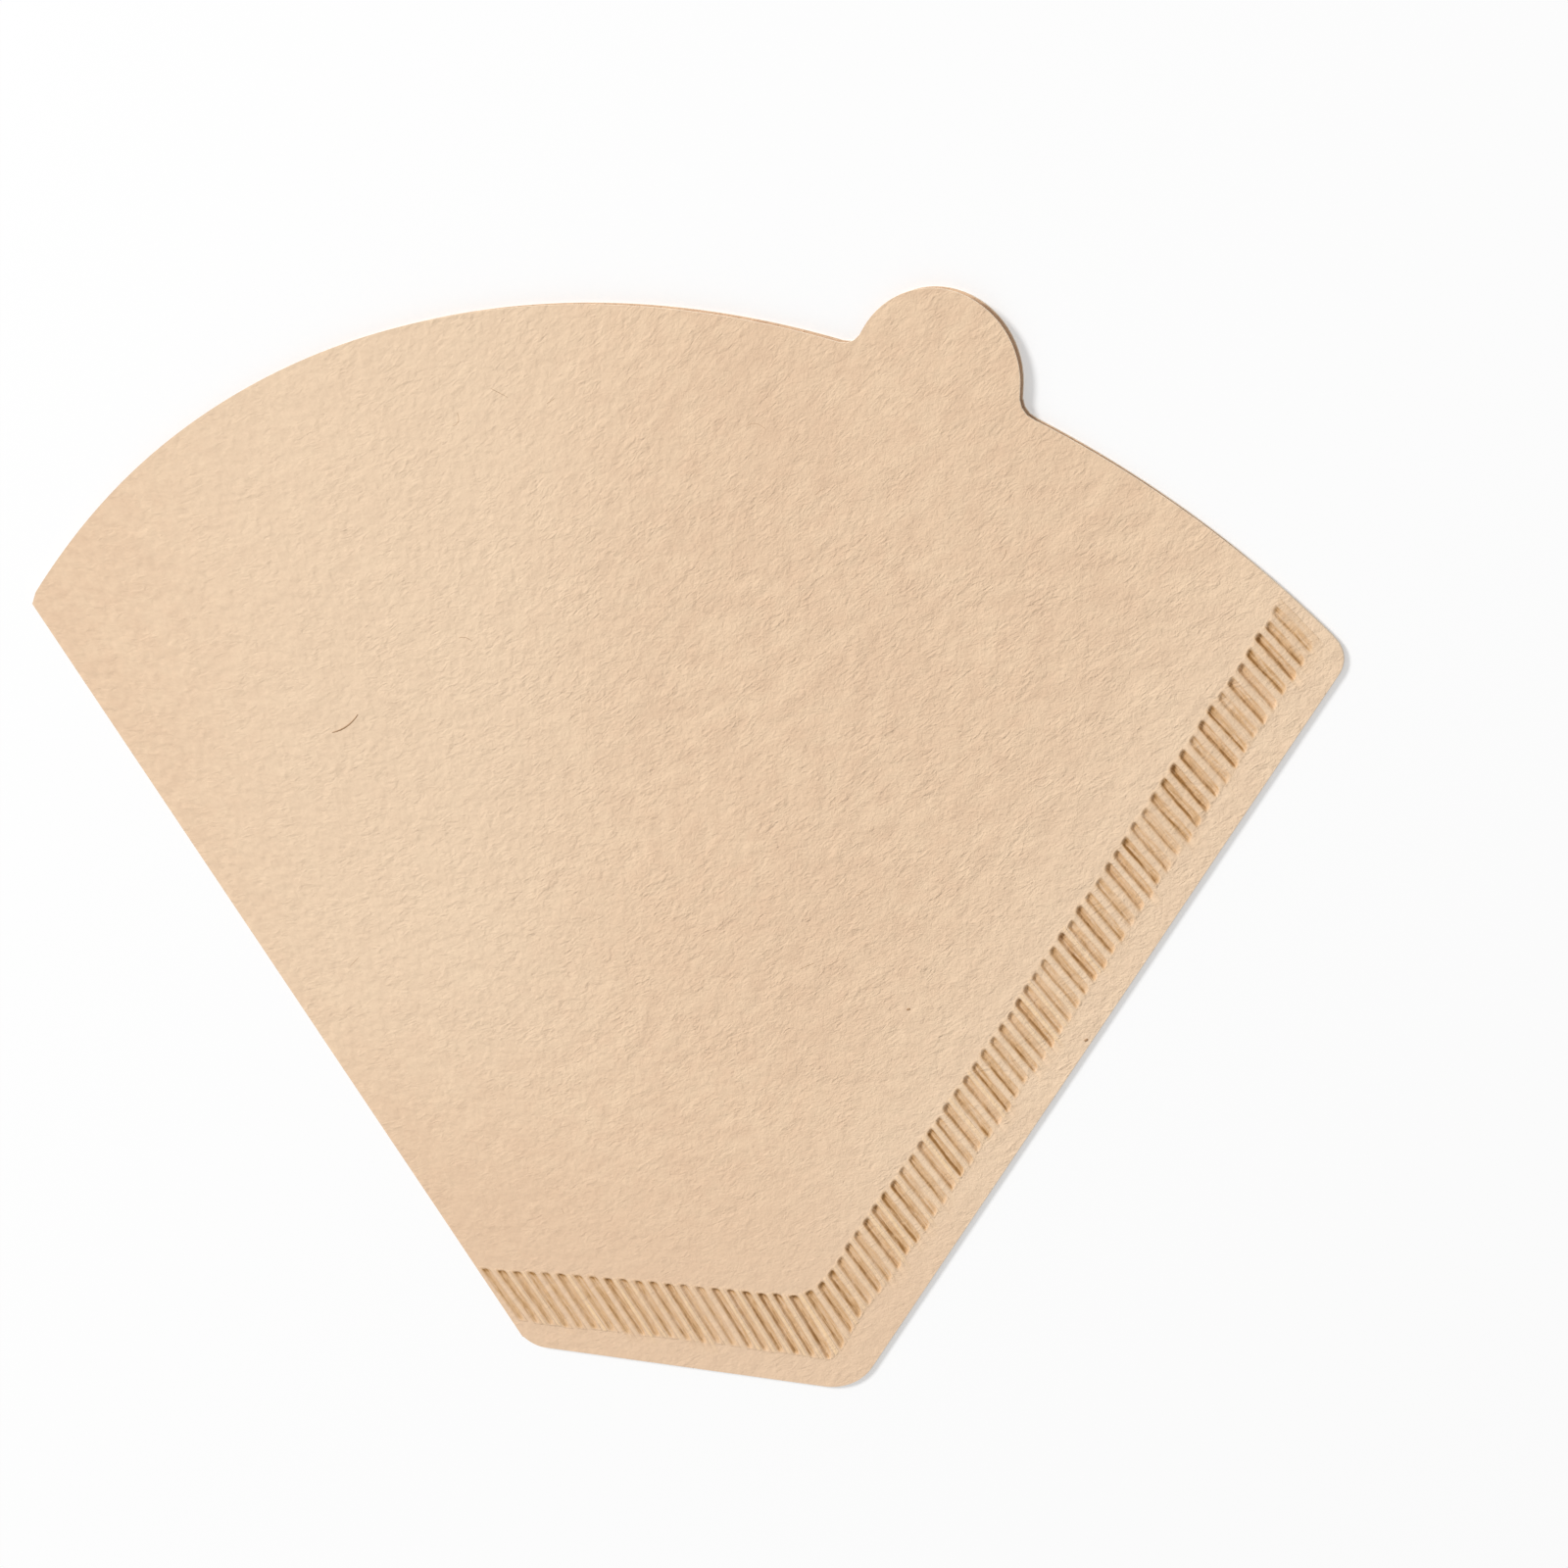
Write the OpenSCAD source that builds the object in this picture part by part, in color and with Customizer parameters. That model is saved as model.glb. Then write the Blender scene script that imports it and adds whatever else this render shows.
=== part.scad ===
// Flat-folded paper coffee filter of the trapezium kind, in millimetres.
// One sheet of kraft paper is folded along its left edge, so that a front and a back
// wall lie on each other. The two walls are crimped together along the bottom and the
// right side, and stay open along the round top edge, the mouth, with its grip tab.
// The filter lies on its back wall: X runs across it, Y from the bottom seam to the
// mouth, Z up. The origin is under the middle of its box.

/* [Paper] */
// Thickness of one wall of paper
paper_t = 0.18; // [0.14:0.01:0.24]
// Air left between the two walls where they lie on each other
wall_gap = 0.15; // [0.1:0.01:0.3]

/* [Outline] */
// Width between the two slanted sides at the middle of the bottom edge
bottom_w = 47; // [42:0.5:54]
// Angle of the two slanted sides from the bottom edge's direction
side_angle = 57.3; // [55:0.1:60]
// Angle by which the bottom edge was cut off square
bottom_skew = 3.1; // [0:0.1:5]
// Radius of the round mouth edge
mouth_r = 118.4; // [112:0.2:126]
// Height of the mouth edge's centre above the bottom edge
mouth_y = 13.7; // [8:0.1:18]
// Corner radius where the mouth meets the fold
fold_top_r = 1.5; // [0.5:0.1:2.5]
// Corner radius where the mouth meets the side seam
seam_top_r = 3; // [1.5:0.1:5]
// Corner radius where the bottom meets the fold
fold_foot_r = 4.8; // [2:0.1:6]
// Corner radius where the bottom meets the side seam
seam_foot_r = 8.6; // [5:0.1:10]

/* [Grip tab] */
// Radius of the tab's round end
tab_r = 9.2; // [7:0.1:11]
// Angle of the tab from the middle of the mouth, towards the side seam
tab_angle = 21.4; // [12:0.1:24]
// Distance from the mouth edge down to the centre of the tab's round end
tab_sink = 0.4; // [0:0.1:2]
// Radius of the two hollow corners beside the tab
tab_fillet_r = 2.3; // [1.5:0.1:4]

/* [Crimped seam] */
// Number of crimp grooves from the fold to the mouth
groove_count = 73; // [64:1:78]
// Share by which the grooves stand closer together at the mouth than beside the fold
pitch_fall = 0.25; // [0:0.01:0.3]
// Share of the pitch that one groove takes
groove_share = 0.48; // [0.4:0.01:0.49]
// Depth of the grooves in the front wall
front_depth = 0.2; // [0.12:0.01:0.22]
// Depth of the grooves in the back wall, half a pitch further on
back_depth = 0.12; // [0.08:0.01:0.14]
// Plain margin between the bottom edge and the grooves
bottom_margin = 3.6; // [3:0.1:4.5]
// Width of the row of grooves along the bottom
bottom_row = 7.9; // [6:0.1:8.5]
// Plain margin between the side edge and the grooves
side_margin = 3.3; // [3:0.1:4.5]
// Width of the row of grooves along the side
side_row = 6; // [5:0.1:7]
// Slope of the first groove, beside the fold
first_slope = 59; // [55:0.5:63]
// Slope of the last groove, beside the mouth
last_slope = 47; // [44:0.5:55]
// Radius of the row's turn from the bottom to the side
row_turn_r = 8; // [6:0.1:10]
// Distance from the fold to the first groove, along the row
first_at = 2; // [1.5:0.1:3]
// Distance from the mouth edge to the middle of the last groove
last_at = 2.3; // [2:0.1:5]
// Width by which the pressed seam reaches past the grooves
seal_past = 0.6; // [0.3:0.1:1.5]

/* [Crown] */
// Radius of the front wall's arch at its crest
crown_r = 3200; // [2700:10:4000]
// Height of the arch above the flat wall at the mouth
crown_rise = 1.2; // [0.8:0.1:1.6]
// Height above the bottom edge at which the arch begins
crown_start = 26; // [22:1:34]
// Sideways place of the arch's middle
crown_x = -5.5; // [-7:0.1:-4]

/* [Hidden] */

paper_colour = [0.91, 0.79, 0.66];
bend_r = paper_t + wall_gap / 2;
flat_t = 2 * bend_r;
mouth_c = [0, mouth_y];
far = 2 * mouth_r;
arch_steps = 48;
end_steps = 4;
chord_error = 0.008;

// How far a cut reaches past what it cuts, and a height that clears the arch
past = 1;
arch_room = 3 * crown_rise;

// Unit vector at an angle from X, and the vector a quarter turn to its left
function dir(a) = [cos(a), sin(a)];
function left_of(v) = [-v[1], v[0]];
function heading(v) = atan2(v[1], v[0]);

// Angle between two sides a and b of a triangle whose third side is c
function corner_angle(a, b, c) = acos((a * a + b * b - c * c) / (2 * a * b));

// Points along an arc about c from the angle a0 to a1, without its first if skip is 1;
// its chords stay within chord_error of the true arc
function arc_run(c, r, a0, a1, skip = 0) =
    let (n = max(4, ceil(abs(a1 - a0) / (2 * acos(1 - chord_error / r)))))
    [for (i = [skip : n]) c + r * dir(a0 + (a1 - a0) * i / n)];

// Point where the line through p along u meets the line through q along v
function meet(p, u, q, v) =
    let (d = u[0] * v[1] - u[1] * v[0], w = q - p)
    p + u * (w[0] * v[1] - w[1] * v[0]) / d;

// Point where the line through p along u leaves the circle of radius r about c
function leave(p, u, c, r) =
    let (w = p - c, b = w * u)
    p + u * (sqrt(b * b - w * w + r * r) - b);

// The three straight edges: a point and a direction for each, inside on the left
bottom_dir = dir(bottom_skew);
side_dir = dir(side_angle);
fold_dir = dir(-side_angle);
bottom_p = [0, 0];
side_p = [bottom_w / 2, 0];
fold_p = [-bottom_w / 2, 0];

// Centres of the four rounded corners
fold_foot_c = meet(bottom_p + fold_foot_r * left_of(bottom_dir), bottom_dir,
                   fold_p + fold_foot_r * left_of(fold_dir), fold_dir);
seam_foot_c = meet(bottom_p + seam_foot_r * left_of(bottom_dir), bottom_dir,
                   side_p + seam_foot_r * left_of(side_dir), side_dir);
seam_top_c = leave(side_p + seam_top_r * left_of(side_dir), side_dir,
                   mouth_c, mouth_r - seam_top_r);
fold_top_c = leave(fold_p + fold_top_r * left_of(fold_dir), -fold_dir,
                   mouth_c, mouth_r - fold_top_r);

// Directions that the straight edges face, and the ends of the mouth's arc
bottom_out = bottom_skew - 90;
side_out = side_angle - 90;
fold_out = 270 - side_angle;
mouth_from = heading(seam_top_c - mouth_c);
mouth_to = heading(fold_top_c - mouth_c);

// Tab: its centre, and by how much the hollow corners beside it turn round the mouth's
// centre and round their own
tab_a = mouth_r - tab_sink;
tab_c = mouth_c + tab_a * dir(90 - tab_angle);
fillet_out = mouth_r + tab_fillet_r;
fillet_far = tab_r + tab_fillet_r;
fillet_turn = corner_angle(tab_a, fillet_out, fillet_far);
fillet_bend = corner_angle(fillet_out, fillet_far, tab_a);
tab_from = 90 - tab_angle - fillet_turn;
tab_to = 90 - tab_angle + fillet_turn;

// Box of the outline, so that the origin can lie under its middle
box_x0 = fold_top_c[0] - fold_top_r;
box_x1 = seam_top_c[0] + seam_top_r;
box_y0 = fold_foot_c[1] - fold_foot_r;
box_y1 = max(mouth_y + mouth_r, tab_c[1] + tab_r);

// The row of grooves: straight along the bottom, one turn, straight up the side
bottom_in = bottom_margin + bottom_row / 2;
side_in = side_margin + side_row / 2;
bottom_row_p = bottom_p + bottom_in * left_of(bottom_dir);
side_row_p = side_p + side_in * left_of(side_dir);
row_corner = meet(bottom_row_p, bottom_dir, side_row_p, side_dir);
row_turn = side_angle - bottom_skew;
turn_reach = row_turn_r * tan(row_turn / 2);
row_start = meet(bottom_row_p, bottom_dir, fold_p, fold_dir) + first_at * bottom_dir;
row_end = leave(side_row_p, side_dir, mouth_c, mouth_r - last_at);
turn_p = row_corner - turn_reach * bottom_dir;
turn_c = turn_p + row_turn_r * left_of(bottom_dir);
side_start = row_corner + turn_reach * side_dir;
bottom_run = norm(turn_p - row_start);
turn_run = row_turn_r * row_turn * PI / 180;
side_run = norm(row_end - side_start);
row_run = bottom_run + turn_run + side_run;

// Place of a groove along the row, and the pitch there; its number n may be a fraction.
// The pitch falls evenly, by pitch_fall of its mean from the first groove to the last.
last_n = groove_count - 1;
function groove_at(n) = row_run * n / last_n * (1 + pitch_fall / 2 * (1 - n / last_n));
function pitch_at(n) = row_run / last_n * (1 + pitch_fall * (1 / 2 - n / last_n));

// Place, direction and row width at the distance s along the row
function row_heading(s) =
    s < bottom_run ? bottom_skew :
    s < bottom_run + turn_run ? bottom_skew + row_turn * (s - bottom_run) / turn_run :
    side_angle;
function row_point(s) =
    s < bottom_run ? row_start + s * bottom_dir :
    s < bottom_run + turn_run ? turn_c - row_turn_r * left_of(dir(row_heading(s))) :
    side_start + (s - bottom_run - turn_run) * side_dir;
function row_width(s) =
    bottom_row + (side_row - bottom_row) * (row_heading(s) - bottom_skew) / row_turn;
function groove_slope(s) = first_slope + (last_slope - first_slope) * s / row_run;
function groove_len(s) = row_width(s) / sin(groove_slope(s) + row_heading(s));

// Everything on the inner side of a straight edge, moved inwards by a distance
module inside_of(p, u, inset) {
    q = p + inset * left_of(u);
    polygon([q - far * u, q + far * u, q + far * u + far * left_of(u),
             q - far * u + far * left_of(u)]);
}

// The outline that both walls share, run once round from the foot of the fold:
// foot, bottom, side, mouth, tab with its hollow corners, mouth, fold
module outline() {
    polygon(concat(
        arc_run(fold_foot_c, fold_foot_r, fold_out - 360, bottom_out),
        arc_run(seam_foot_c, seam_foot_r, bottom_out, side_out),
        arc_run(seam_top_c, seam_top_r, side_out, mouth_from),
        arc_run(mouth_c, mouth_r, mouth_from, tab_from, 1),
        arc_run(mouth_c + fillet_out * dir(tab_from), tab_fillet_r,
                tab_from + 180, tab_from + 180 - fillet_bend, 1),
        arc_run(tab_c, tab_r, tab_from - fillet_bend, tab_to + fillet_bend, 1),
        arc_run(mouth_c + fillet_out * dir(tab_to), tab_fillet_r,
                tab_to + 180 + fillet_bend, tab_to + 180, 1),
        arc_run(mouth_c, mouth_r, tab_to, mouth_to, 1),
        arc_run(fold_top_c, fold_top_r, mouth_to, fold_out, 1)));
}

// Where the two walls are free of each other: inside both rows of grooves
module pocket() {
    intersection() {
        inside_of(bottom_p, bottom_dir, bottom_margin + bottom_row + seal_past);
        inside_of(side_p, side_dir, side_margin + side_row + seal_past);
    }
}

// The sheet folded over: two walls and the half-round bend that joins them, as one
// hairpin-shaped section that runs along the fold
module folded_sheet() {
    bend_c = [bend_r, bend_r];
    translate(fold_p) rotate([0, 0, 90 - side_angle])
    translate([0, far, 0]) rotate([90, 0, 0]) linear_extrude(height = 2 * far)
    polygon(concat(
        arc_run(bend_c, bend_r, 90, 270), [[far, 0], [far, paper_t]],
        arc_run(bend_c, wall_gap / 2, 270, 90), [[far, flat_t - paper_t], [far, flat_t]]));
}

// The long shallow arch of the front wall, which rises from the bottom towards the
// mouth: a parabola across the filter, carried along a line that slopes gently up.
// drop lowers it by the thickness of the paper for the inner side.
module arch(drop) {
    tilt = atan(crown_rise / (mouth_y + mouth_r - crown_start));
    half = sqrt(2 * crown_r * (crown_rise + flat_t));
    translate([crown_x, crown_start, flat_t - drop]) rotate([90 - tilt, 0, 180])
    translate([0, 0, -crown_start]) linear_extrude(height = far)
    polygon([for (i = [0 : arch_steps]) let (x = half * (1 - 2 * i / arch_steps))
             [x, -x * x / (2 * crown_r)]]);
}

// The arch above the height z only, over the sheet
module arch_above(drop, z) {
    intersection() {
        arch(drop);
        translate([-far / 2, -far / 2, z]) cube([far, 2 * far, arch_room]);
    }
}

// A bar with round ends, lying along X: its corners run once round both ends
module round_bar(length, width) {
    polygon([for (end = [0, 1], i = [0 : end_steps])
             let (a = 180 * end - 90 + 180 * i / end_steps, side = 1 - 2 * end)
             [side * (length - width) / 2 + width / 2 * cos(a), width / 2 * sin(a)]]);
}

// Plan of the grooves whose numbers start at from
module groove_plan(from, count) {
    for (i = [0 : count - 1]) {
        s = groove_at(i + from);
        translate(row_point(s)) rotate(-groove_slope(s))
            round_bar(groove_len(s), groove_share * pitch_at(i + from));
    }
}

// The whole filter: walls, fold, pressed seam, grooves and grip tab
module filter_paper() {
    color(paper_colour)
    translate([-(box_x0 + box_x1) / 2, -(box_y0 + box_y1) / 2, 0])
    difference() {
        intersection() {
            translate([0, 0, -past]) linear_extrude(height = arch_room + past) outline();
            union() {
                folded_sheet();
                arch_above(0, flat_t - paper_t / 2);
                translate([0, 0, paper_t / 2]) linear_extrude(height = flat_t - paper_t)
                intersection() {
                    inside_of(fold_p, fold_dir, paper_t / 2);
                    difference() {
                        square(2 * far, center = true);
                        pocket();
                    }
                }
            }
        }
        intersection() {
            arch_above(paper_t, paper_t);
            linear_extrude(height = arch_room) intersection() {
                pocket();
                inside_of(fold_p, fold_dir, bend_r);
            }
        }
        translate([0, 0, flat_t - front_depth]) linear_extrude(height = past)
            groove_plan(0, groove_count);
        translate([0, 0, back_depth - past]) linear_extrude(height = past)
            groove_plan(0.5, groove_count - 1);
    }
}

filter_paper();
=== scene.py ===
"""A paper coffee filter, dressed: one folded sheet of kraft paper, its crimped seam, its
open mouth with the grip tab, and the stray fibres in its face, on a pale floor.

Lengths are millimetres in the CAD's own frame, and become metres when a mesh is made. The
flat outline is worked out as the CAD does it, with the middle of the bottom edge as zero,
and moved to the CAD's origin at the end.
"""

import logging
import math
from dataclasses import dataclass, field
from enum import Enum, IntEnum
from functools import cached_property

import bpy
import numpy as np
from mathutils import Matrix, Vector


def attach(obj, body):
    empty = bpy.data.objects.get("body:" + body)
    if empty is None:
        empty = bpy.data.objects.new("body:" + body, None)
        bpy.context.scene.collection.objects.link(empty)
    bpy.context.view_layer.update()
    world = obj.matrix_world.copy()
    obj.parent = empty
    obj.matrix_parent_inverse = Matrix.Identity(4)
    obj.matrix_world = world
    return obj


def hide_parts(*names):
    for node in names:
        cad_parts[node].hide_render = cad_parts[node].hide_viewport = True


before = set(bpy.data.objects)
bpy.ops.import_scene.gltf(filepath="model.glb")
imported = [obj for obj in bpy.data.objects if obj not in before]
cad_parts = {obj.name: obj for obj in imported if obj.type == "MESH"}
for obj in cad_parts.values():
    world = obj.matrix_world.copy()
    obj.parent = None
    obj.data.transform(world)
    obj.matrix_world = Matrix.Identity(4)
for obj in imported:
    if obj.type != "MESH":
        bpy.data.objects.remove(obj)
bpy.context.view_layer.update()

LOG = logging.getLogger("filter")
MM = 0.001
COARSE, FINE = 0.05, 0.02
SAME_PLACE = 2e-4
BESIDE = 1e-6
TINY = 1e-9
NODE_APART = 190

Array = np.ndarray
Colour = tuple[float, float, float, float]
Triple = tuple[float, float, float]
Socket = bpy.types.NodeSocket


# Plane geometry


def unit(degrees: float | Array) -> Array:
    """Unit vector, or a row of them, at an angle from X."""
    a = np.radians(degrees)
    return np.stack([np.cos(a), np.sin(a)], -1)


def left_of(v: Array) -> Array:
    """The vectors v turned a quarter turn to the left."""
    return np.stack([-v[..., 1], v[..., 0]], -1)


def heading(v: Array) -> float:
    """Angle of the vector v from X, in degrees."""
    return math.degrees(math.atan2(v[1], v[0]))


def apex(a: float, b: float, c: float) -> float:
    """Angle between the sides a and b of a triangle whose third side is c, in degrees."""
    return math.degrees(math.acos((a * a + b * b - c * c) / (2 * a * b)))


@dataclass(frozen=True)
class Circle:
    """A circle of the outline: the mouth's, the tab's or a corner's."""

    centre: Array
    radius: float

    def arc(self, start: float, end: float, step: float = COARSE) -> Array:
        """Points round the circle from one angle to another, about step apart."""
        n = max(4, int(abs(math.radians(end - start)) * self.radius / step))
        return self.centre + self.radius * unit(np.linspace(start, end, n + 1))

    def heading(self, point: Array) -> float:
        """Angle at which the centre sees a point, in degrees."""
        return heading(point - self.centre)


@dataclass(frozen=True)
class Line:
    """A straight line through a point. The paper lies on its left."""

    point: Array
    way: Array

    def inset(self, by: float) -> "Line":
        """The line moved to its left."""
        return Line(self.point + by * left_of(self.way), self.way)

    def turned(self) -> "Line":
        """The same line, run the other way."""
        return Line(self.point, -self.way)

    def depth(self, xy: Array) -> Array:
        """How far points lie to the left of the line."""
        return (xy - self.point) @ left_of(self.way)

    def meets(self, other: "Line") -> Array:
        """Point where the line meets another: the ratio of two cross products along it."""
        w, u, v = other.point - self.point, self.way, other.way
        return self.point + u * (w[0] * v[1] - w[1] * v[0]) / (u[0] * v[1] - u[1] * v[0])

    def leaves(self, circle: Circle) -> Array:
        """Point where the line leaves a circle.

        With w the way from the centre to the line's point, and b its part along the line,
        the point lies the root of b squared less w squared plus the radius squared, less
        b, along the line.

        Args:
            circle: the circle, which the line crosses.

        Returns:
            The point.
        """
        w, r = self.point - circle.centre, circle.radius
        b = w @ self.way
        return self.point + self.way * (math.sqrt(b * b - w @ w + r * r) - b)

    def corner(self, other: "Line", radius: float) -> Circle:
        """The round corner between two lines: its centre lies one radius inside both."""
        return Circle(self.inset(radius).meets(other.inset(radius)), radius)


@dataclass(frozen=True)
class Bell:
    """A place beside which points lie closer together: how much, and how far it reaches."""

    centre: Array
    pull: float = 1.6
    reach: float = 12.0

    def weight(self, xy: Array) -> Array:
        """1 plus the pull times the bell: e to less the fourth power of distance by reach."""
        away = np.linalg.norm(xy - self.centre, axis=1) / self.reach
        return 1 + self.pull * np.exp(-away ** 4)


def spread(line: Array, count: int, bell: Bell | None = None) -> Array:
    """Share points out along a polyline.

    The length along the line is measured with the bell's weight, and the points are
    equally far apart in that measure.

    Args:
        line: points of the polyline.
        count: how many points to return, both ends included.
        bell: place beside which they lie closer together.

    Returns:
        The points, count by 2.
    """
    steps = np.linalg.norm(np.diff(line, axis=0), axis=1)
    if bell:
        steps = steps * bell.weight((line[1:] + line[:-1]) / 2)
    run = np.concatenate([[0.0], np.cumsum(steps)])
    at = np.linspace(0, run[-1], count)
    return np.stack([np.interp(at, run, line[:, k]) for k in (0, 1)], -1)


def fractions(line: Array) -> Array:
    """How far along a polyline each of its points is, from 0 to 1."""
    run = np.concatenate([[0.0], np.cumsum(np.linalg.norm(np.diff(line, axis=0), axis=1))])
    return run / run[-1]


def stretch(left: Array, right: Array, low: Array, high: Array) -> Array:
    """Fill a four-sided field between its edges.

    A point is the blend of left and right, plus the blend of low and high, less the blend
    of the four corners, each by how far along its edges the point is.

    Args:
        left: the edge where the first index is 0, rows by 2.
        right: the edge where it is last.
        low: the edge where the second index is 0, columns by 2.
        high: the edge where it is last.

    Returns:
        Points, columns by rows by 2.
    """
    up = np.stack([fractions(left), fractions(right)])
    across = np.stack([fractions(low), fractions(high)])
    u0, v0 = np.meshgrid(np.linspace(0, 1, len(low)), np.linspace(0, 1, len(left)), indexing="ij")
    v = ((1 - u0) * up[0][None, :] + u0 * up[1][None, :])[..., None]
    u = ((1 - v0) * across[0][:, None] + v0 * across[1][:, None])[..., None]
    sides = (1 - u) * left[None] + u * right[None]
    ends = (1 - v) * low[:, None] + v * high[:, None]
    corners = (1 - u) * ((1 - v) * low[0] + v * high[0]) + u * ((1 - v) * low[-1] + v * high[-1])
    return sides + ends - corners


def ease(x: Array) -> Array:
    """Smooth step from 0 at 0 to 1 at 1: three x squared less two x cubed."""
    x = np.clip(x, 0, 1)
    return x * x * (3 - 2 * x)


@dataclass(frozen=True)
class Slope:
    """A smooth step from 0 at its start to 1 at its end, which may lie on either side."""

    start: float
    end: float

    def at(self, x: Array) -> Array:
        """Its height at x."""
        return ease((x - self.start) / (self.end - self.start))


# The sheet's flat shape


@dataclass(frozen=True)
class Outline:
    """The flat outline that both walls share."""

    bottom_w: float = 47.0
    side_angle: float = 57.3
    bottom_skew: float = 3.1
    mouth_r: float = 118.4
    mouth_y: float = 13.7
    fold_top_r: float = 1.5
    seam_top_r: float = 3.0
    fold_foot_r: float = 4.8
    seam_foot_r: float = 8.6
    tab_r: float = 9.2
    tab_angle: float = 21.4
    tab_sink: float = 0.4
    tab_fillet_r: float = 2.3
    bend: float = 0.25

    @cached_property
    def bottom(self) -> Line:
        """The bottom edge, from the fold to the seam."""
        return Line(np.zeros(2), unit(self.bottom_skew))

    @cached_property
    def side(self) -> Line:
        """The side edge, from the bottom to the mouth."""
        return Line(np.array([self.bottom_w / 2, 0.0]), unit(self.side_angle))

    @cached_property
    def fold(self) -> Line:
        """The fold, from the mouth to the bottom."""
        return Line(np.array([-self.bottom_w / 2, 0.0]), unit(-self.side_angle))

    @cached_property
    def bend_line(self) -> Line:
        """The line along which the front face begins to bend over into the fold."""
        return self.fold.inset(self.bend)

    @cached_property
    def rim(self) -> Circle:
        """The circle of the mouth edge."""
        return Circle(np.array([0.0, self.mouth_y]), self.mouth_r)

    @cached_property
    def tab(self) -> Circle:
        """The circle of the tab's round end."""
        way = unit(90 - self.tab_angle)
        return Circle(self.rim.centre + (self.mouth_r - self.tab_sink) * way, self.tab_r)

    @cached_property
    def fold_foot(self) -> Circle:
        """The corner between the fold and the bottom."""
        return self.bottom.corner(self.fold, self.fold_foot_r)

    @cached_property
    def seam_foot(self) -> Circle:
        """The corner between the bottom and the side."""
        return self.bottom.corner(self.side, self.seam_foot_r)

    @cached_property
    def seam_top(self) -> Circle:
        """The corner between the side and the mouth."""
        return self.under_rim(self.side.inset(self.seam_top_r), self.seam_top_r)

    @cached_property
    def fold_top(self) -> Circle:
        """The corner between the mouth and the fold."""
        return self.under_rim(self.fold.inset(self.fold_top_r).turned(), self.fold_top_r)

    def under_rim(self, line: Line, radius: float) -> Circle:
        """The circle about a point of a line that touches the mouth edge from inside."""
        return Circle(line.leaves(Circle(self.rim.centre, self.mouth_r - radius)), radius)

    @cached_property
    def shift(self) -> Array:
        """The way from this outline's zero to the CAD's origin, the middle of its box.

        Returns:
            The way, in millimetres.
        """
        x = (self.fold_top.centre[0] - self.fold_top_r, self.seam_top.centre[0] + self.seam_top_r)
        y = (self.fold_foot.centre[1] - self.fold_foot_r,
             max(self.mouth_y + self.mouth_r, self.tab.centre[1] + self.tab_r))
        return -np.array([sum(x) / 2, sum(y) / 2])

    def mouth(self, start: Array) -> Array:
        """The mouth edge with its tab, from a point of its circle to the bend of the fold.

        A hollow corner on each side joins the tab to the mouth. The centres of the mouth,
        the tab and a hollow corner make a triangle with known sides, and its angles say
        where one round goes over into the next.

        Args:
            start: the point by the seam where the edge starts.

        Returns:
            Points of the edge.
        """
        out, near = self.mouth_r + self.tab_fillet_r, self.tab_r + self.tab_fillet_r
        far = self.mouth_r - self.tab_sink
        turn, bow = apex(far, out, near), apex(out, near, far)
        first, last = 90 - self.tab_angle - turn, 90 - self.tab_angle + turn
        hollow_in, hollow_out = (Circle(self.rim.centre + out * unit(at), self.tab_fillet_r)
                                 for at in (first, last))
        top = self.rim.heading(self.fold_top.centre)
        stop = 270 - self.side_angle - math.degrees(math.acos(1 - self.bend / self.fold_top_r))
        runs = [
            self.rim.arc(self.rim.heading(start), first),
            hollow_in.arc(first + 180, first + 180 - bow)[1:],
            self.tab.arc(first - bow, last + bow)[1:],
            hollow_out.arc(last + 180 + bow, last + 180)[1:],
            self.rim.arc(last, top)[1:],
            self.fold_top.arc(top, stop)[1:],
        ]
        return np.concatenate(runs)

    def foot(self) -> Array:
        """The round corner from the bend of the fold to the bottom edge."""
        bow = math.degrees(math.acos(1 - self.bend / self.fold_foot_r))
        return self.fold_foot.arc(-90 - self.side_angle + bow, self.bottom_skew - 90, FINE)


# The crimped seam


@dataclass(frozen=True)
class Spacing:
    """How the seam's points are shared out, along its row and across it.

    The phases are places in the pitch, from the middle of a groove. The walls take every
    second column along the bottom, as far as the turn's middle, and every sixth after it.
    Across the row the points lie closest at a groove's head and tail.
    """

    fold_end: int = 8
    mouth_end: int = 12
    phases: tuple[float, ...] = (-0.32, -0.26, -0.215, -0.17, -0.10, 0.0,
                                 0.10, 0.20, 0.28, 0.36, 0.46, 0.57)
    last_phase: float = 0.75
    bottom_grooves: int = 21
    bottom_step: int = 2
    side_step: int = 6
    end_rows: tuple[float, ...] = (0, 0.12, 0.26, 0.42, 0.65, 1.0)
    body_rows: int = 7
    inner_share: float = 0.45
    inner_gap: float = 0.02
    head_gap: float = 0.1
    tail_gap: float = 0.15
    margin_rows: tuple[float, ...] = (0.4, 0.75)
    edge_gap: float = 0.12

    @property
    def split(self) -> int:
        """The column at which the bottom gives way to the side."""
        return self.fold_end + self.bottom_grooves * len(self.phases)


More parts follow.
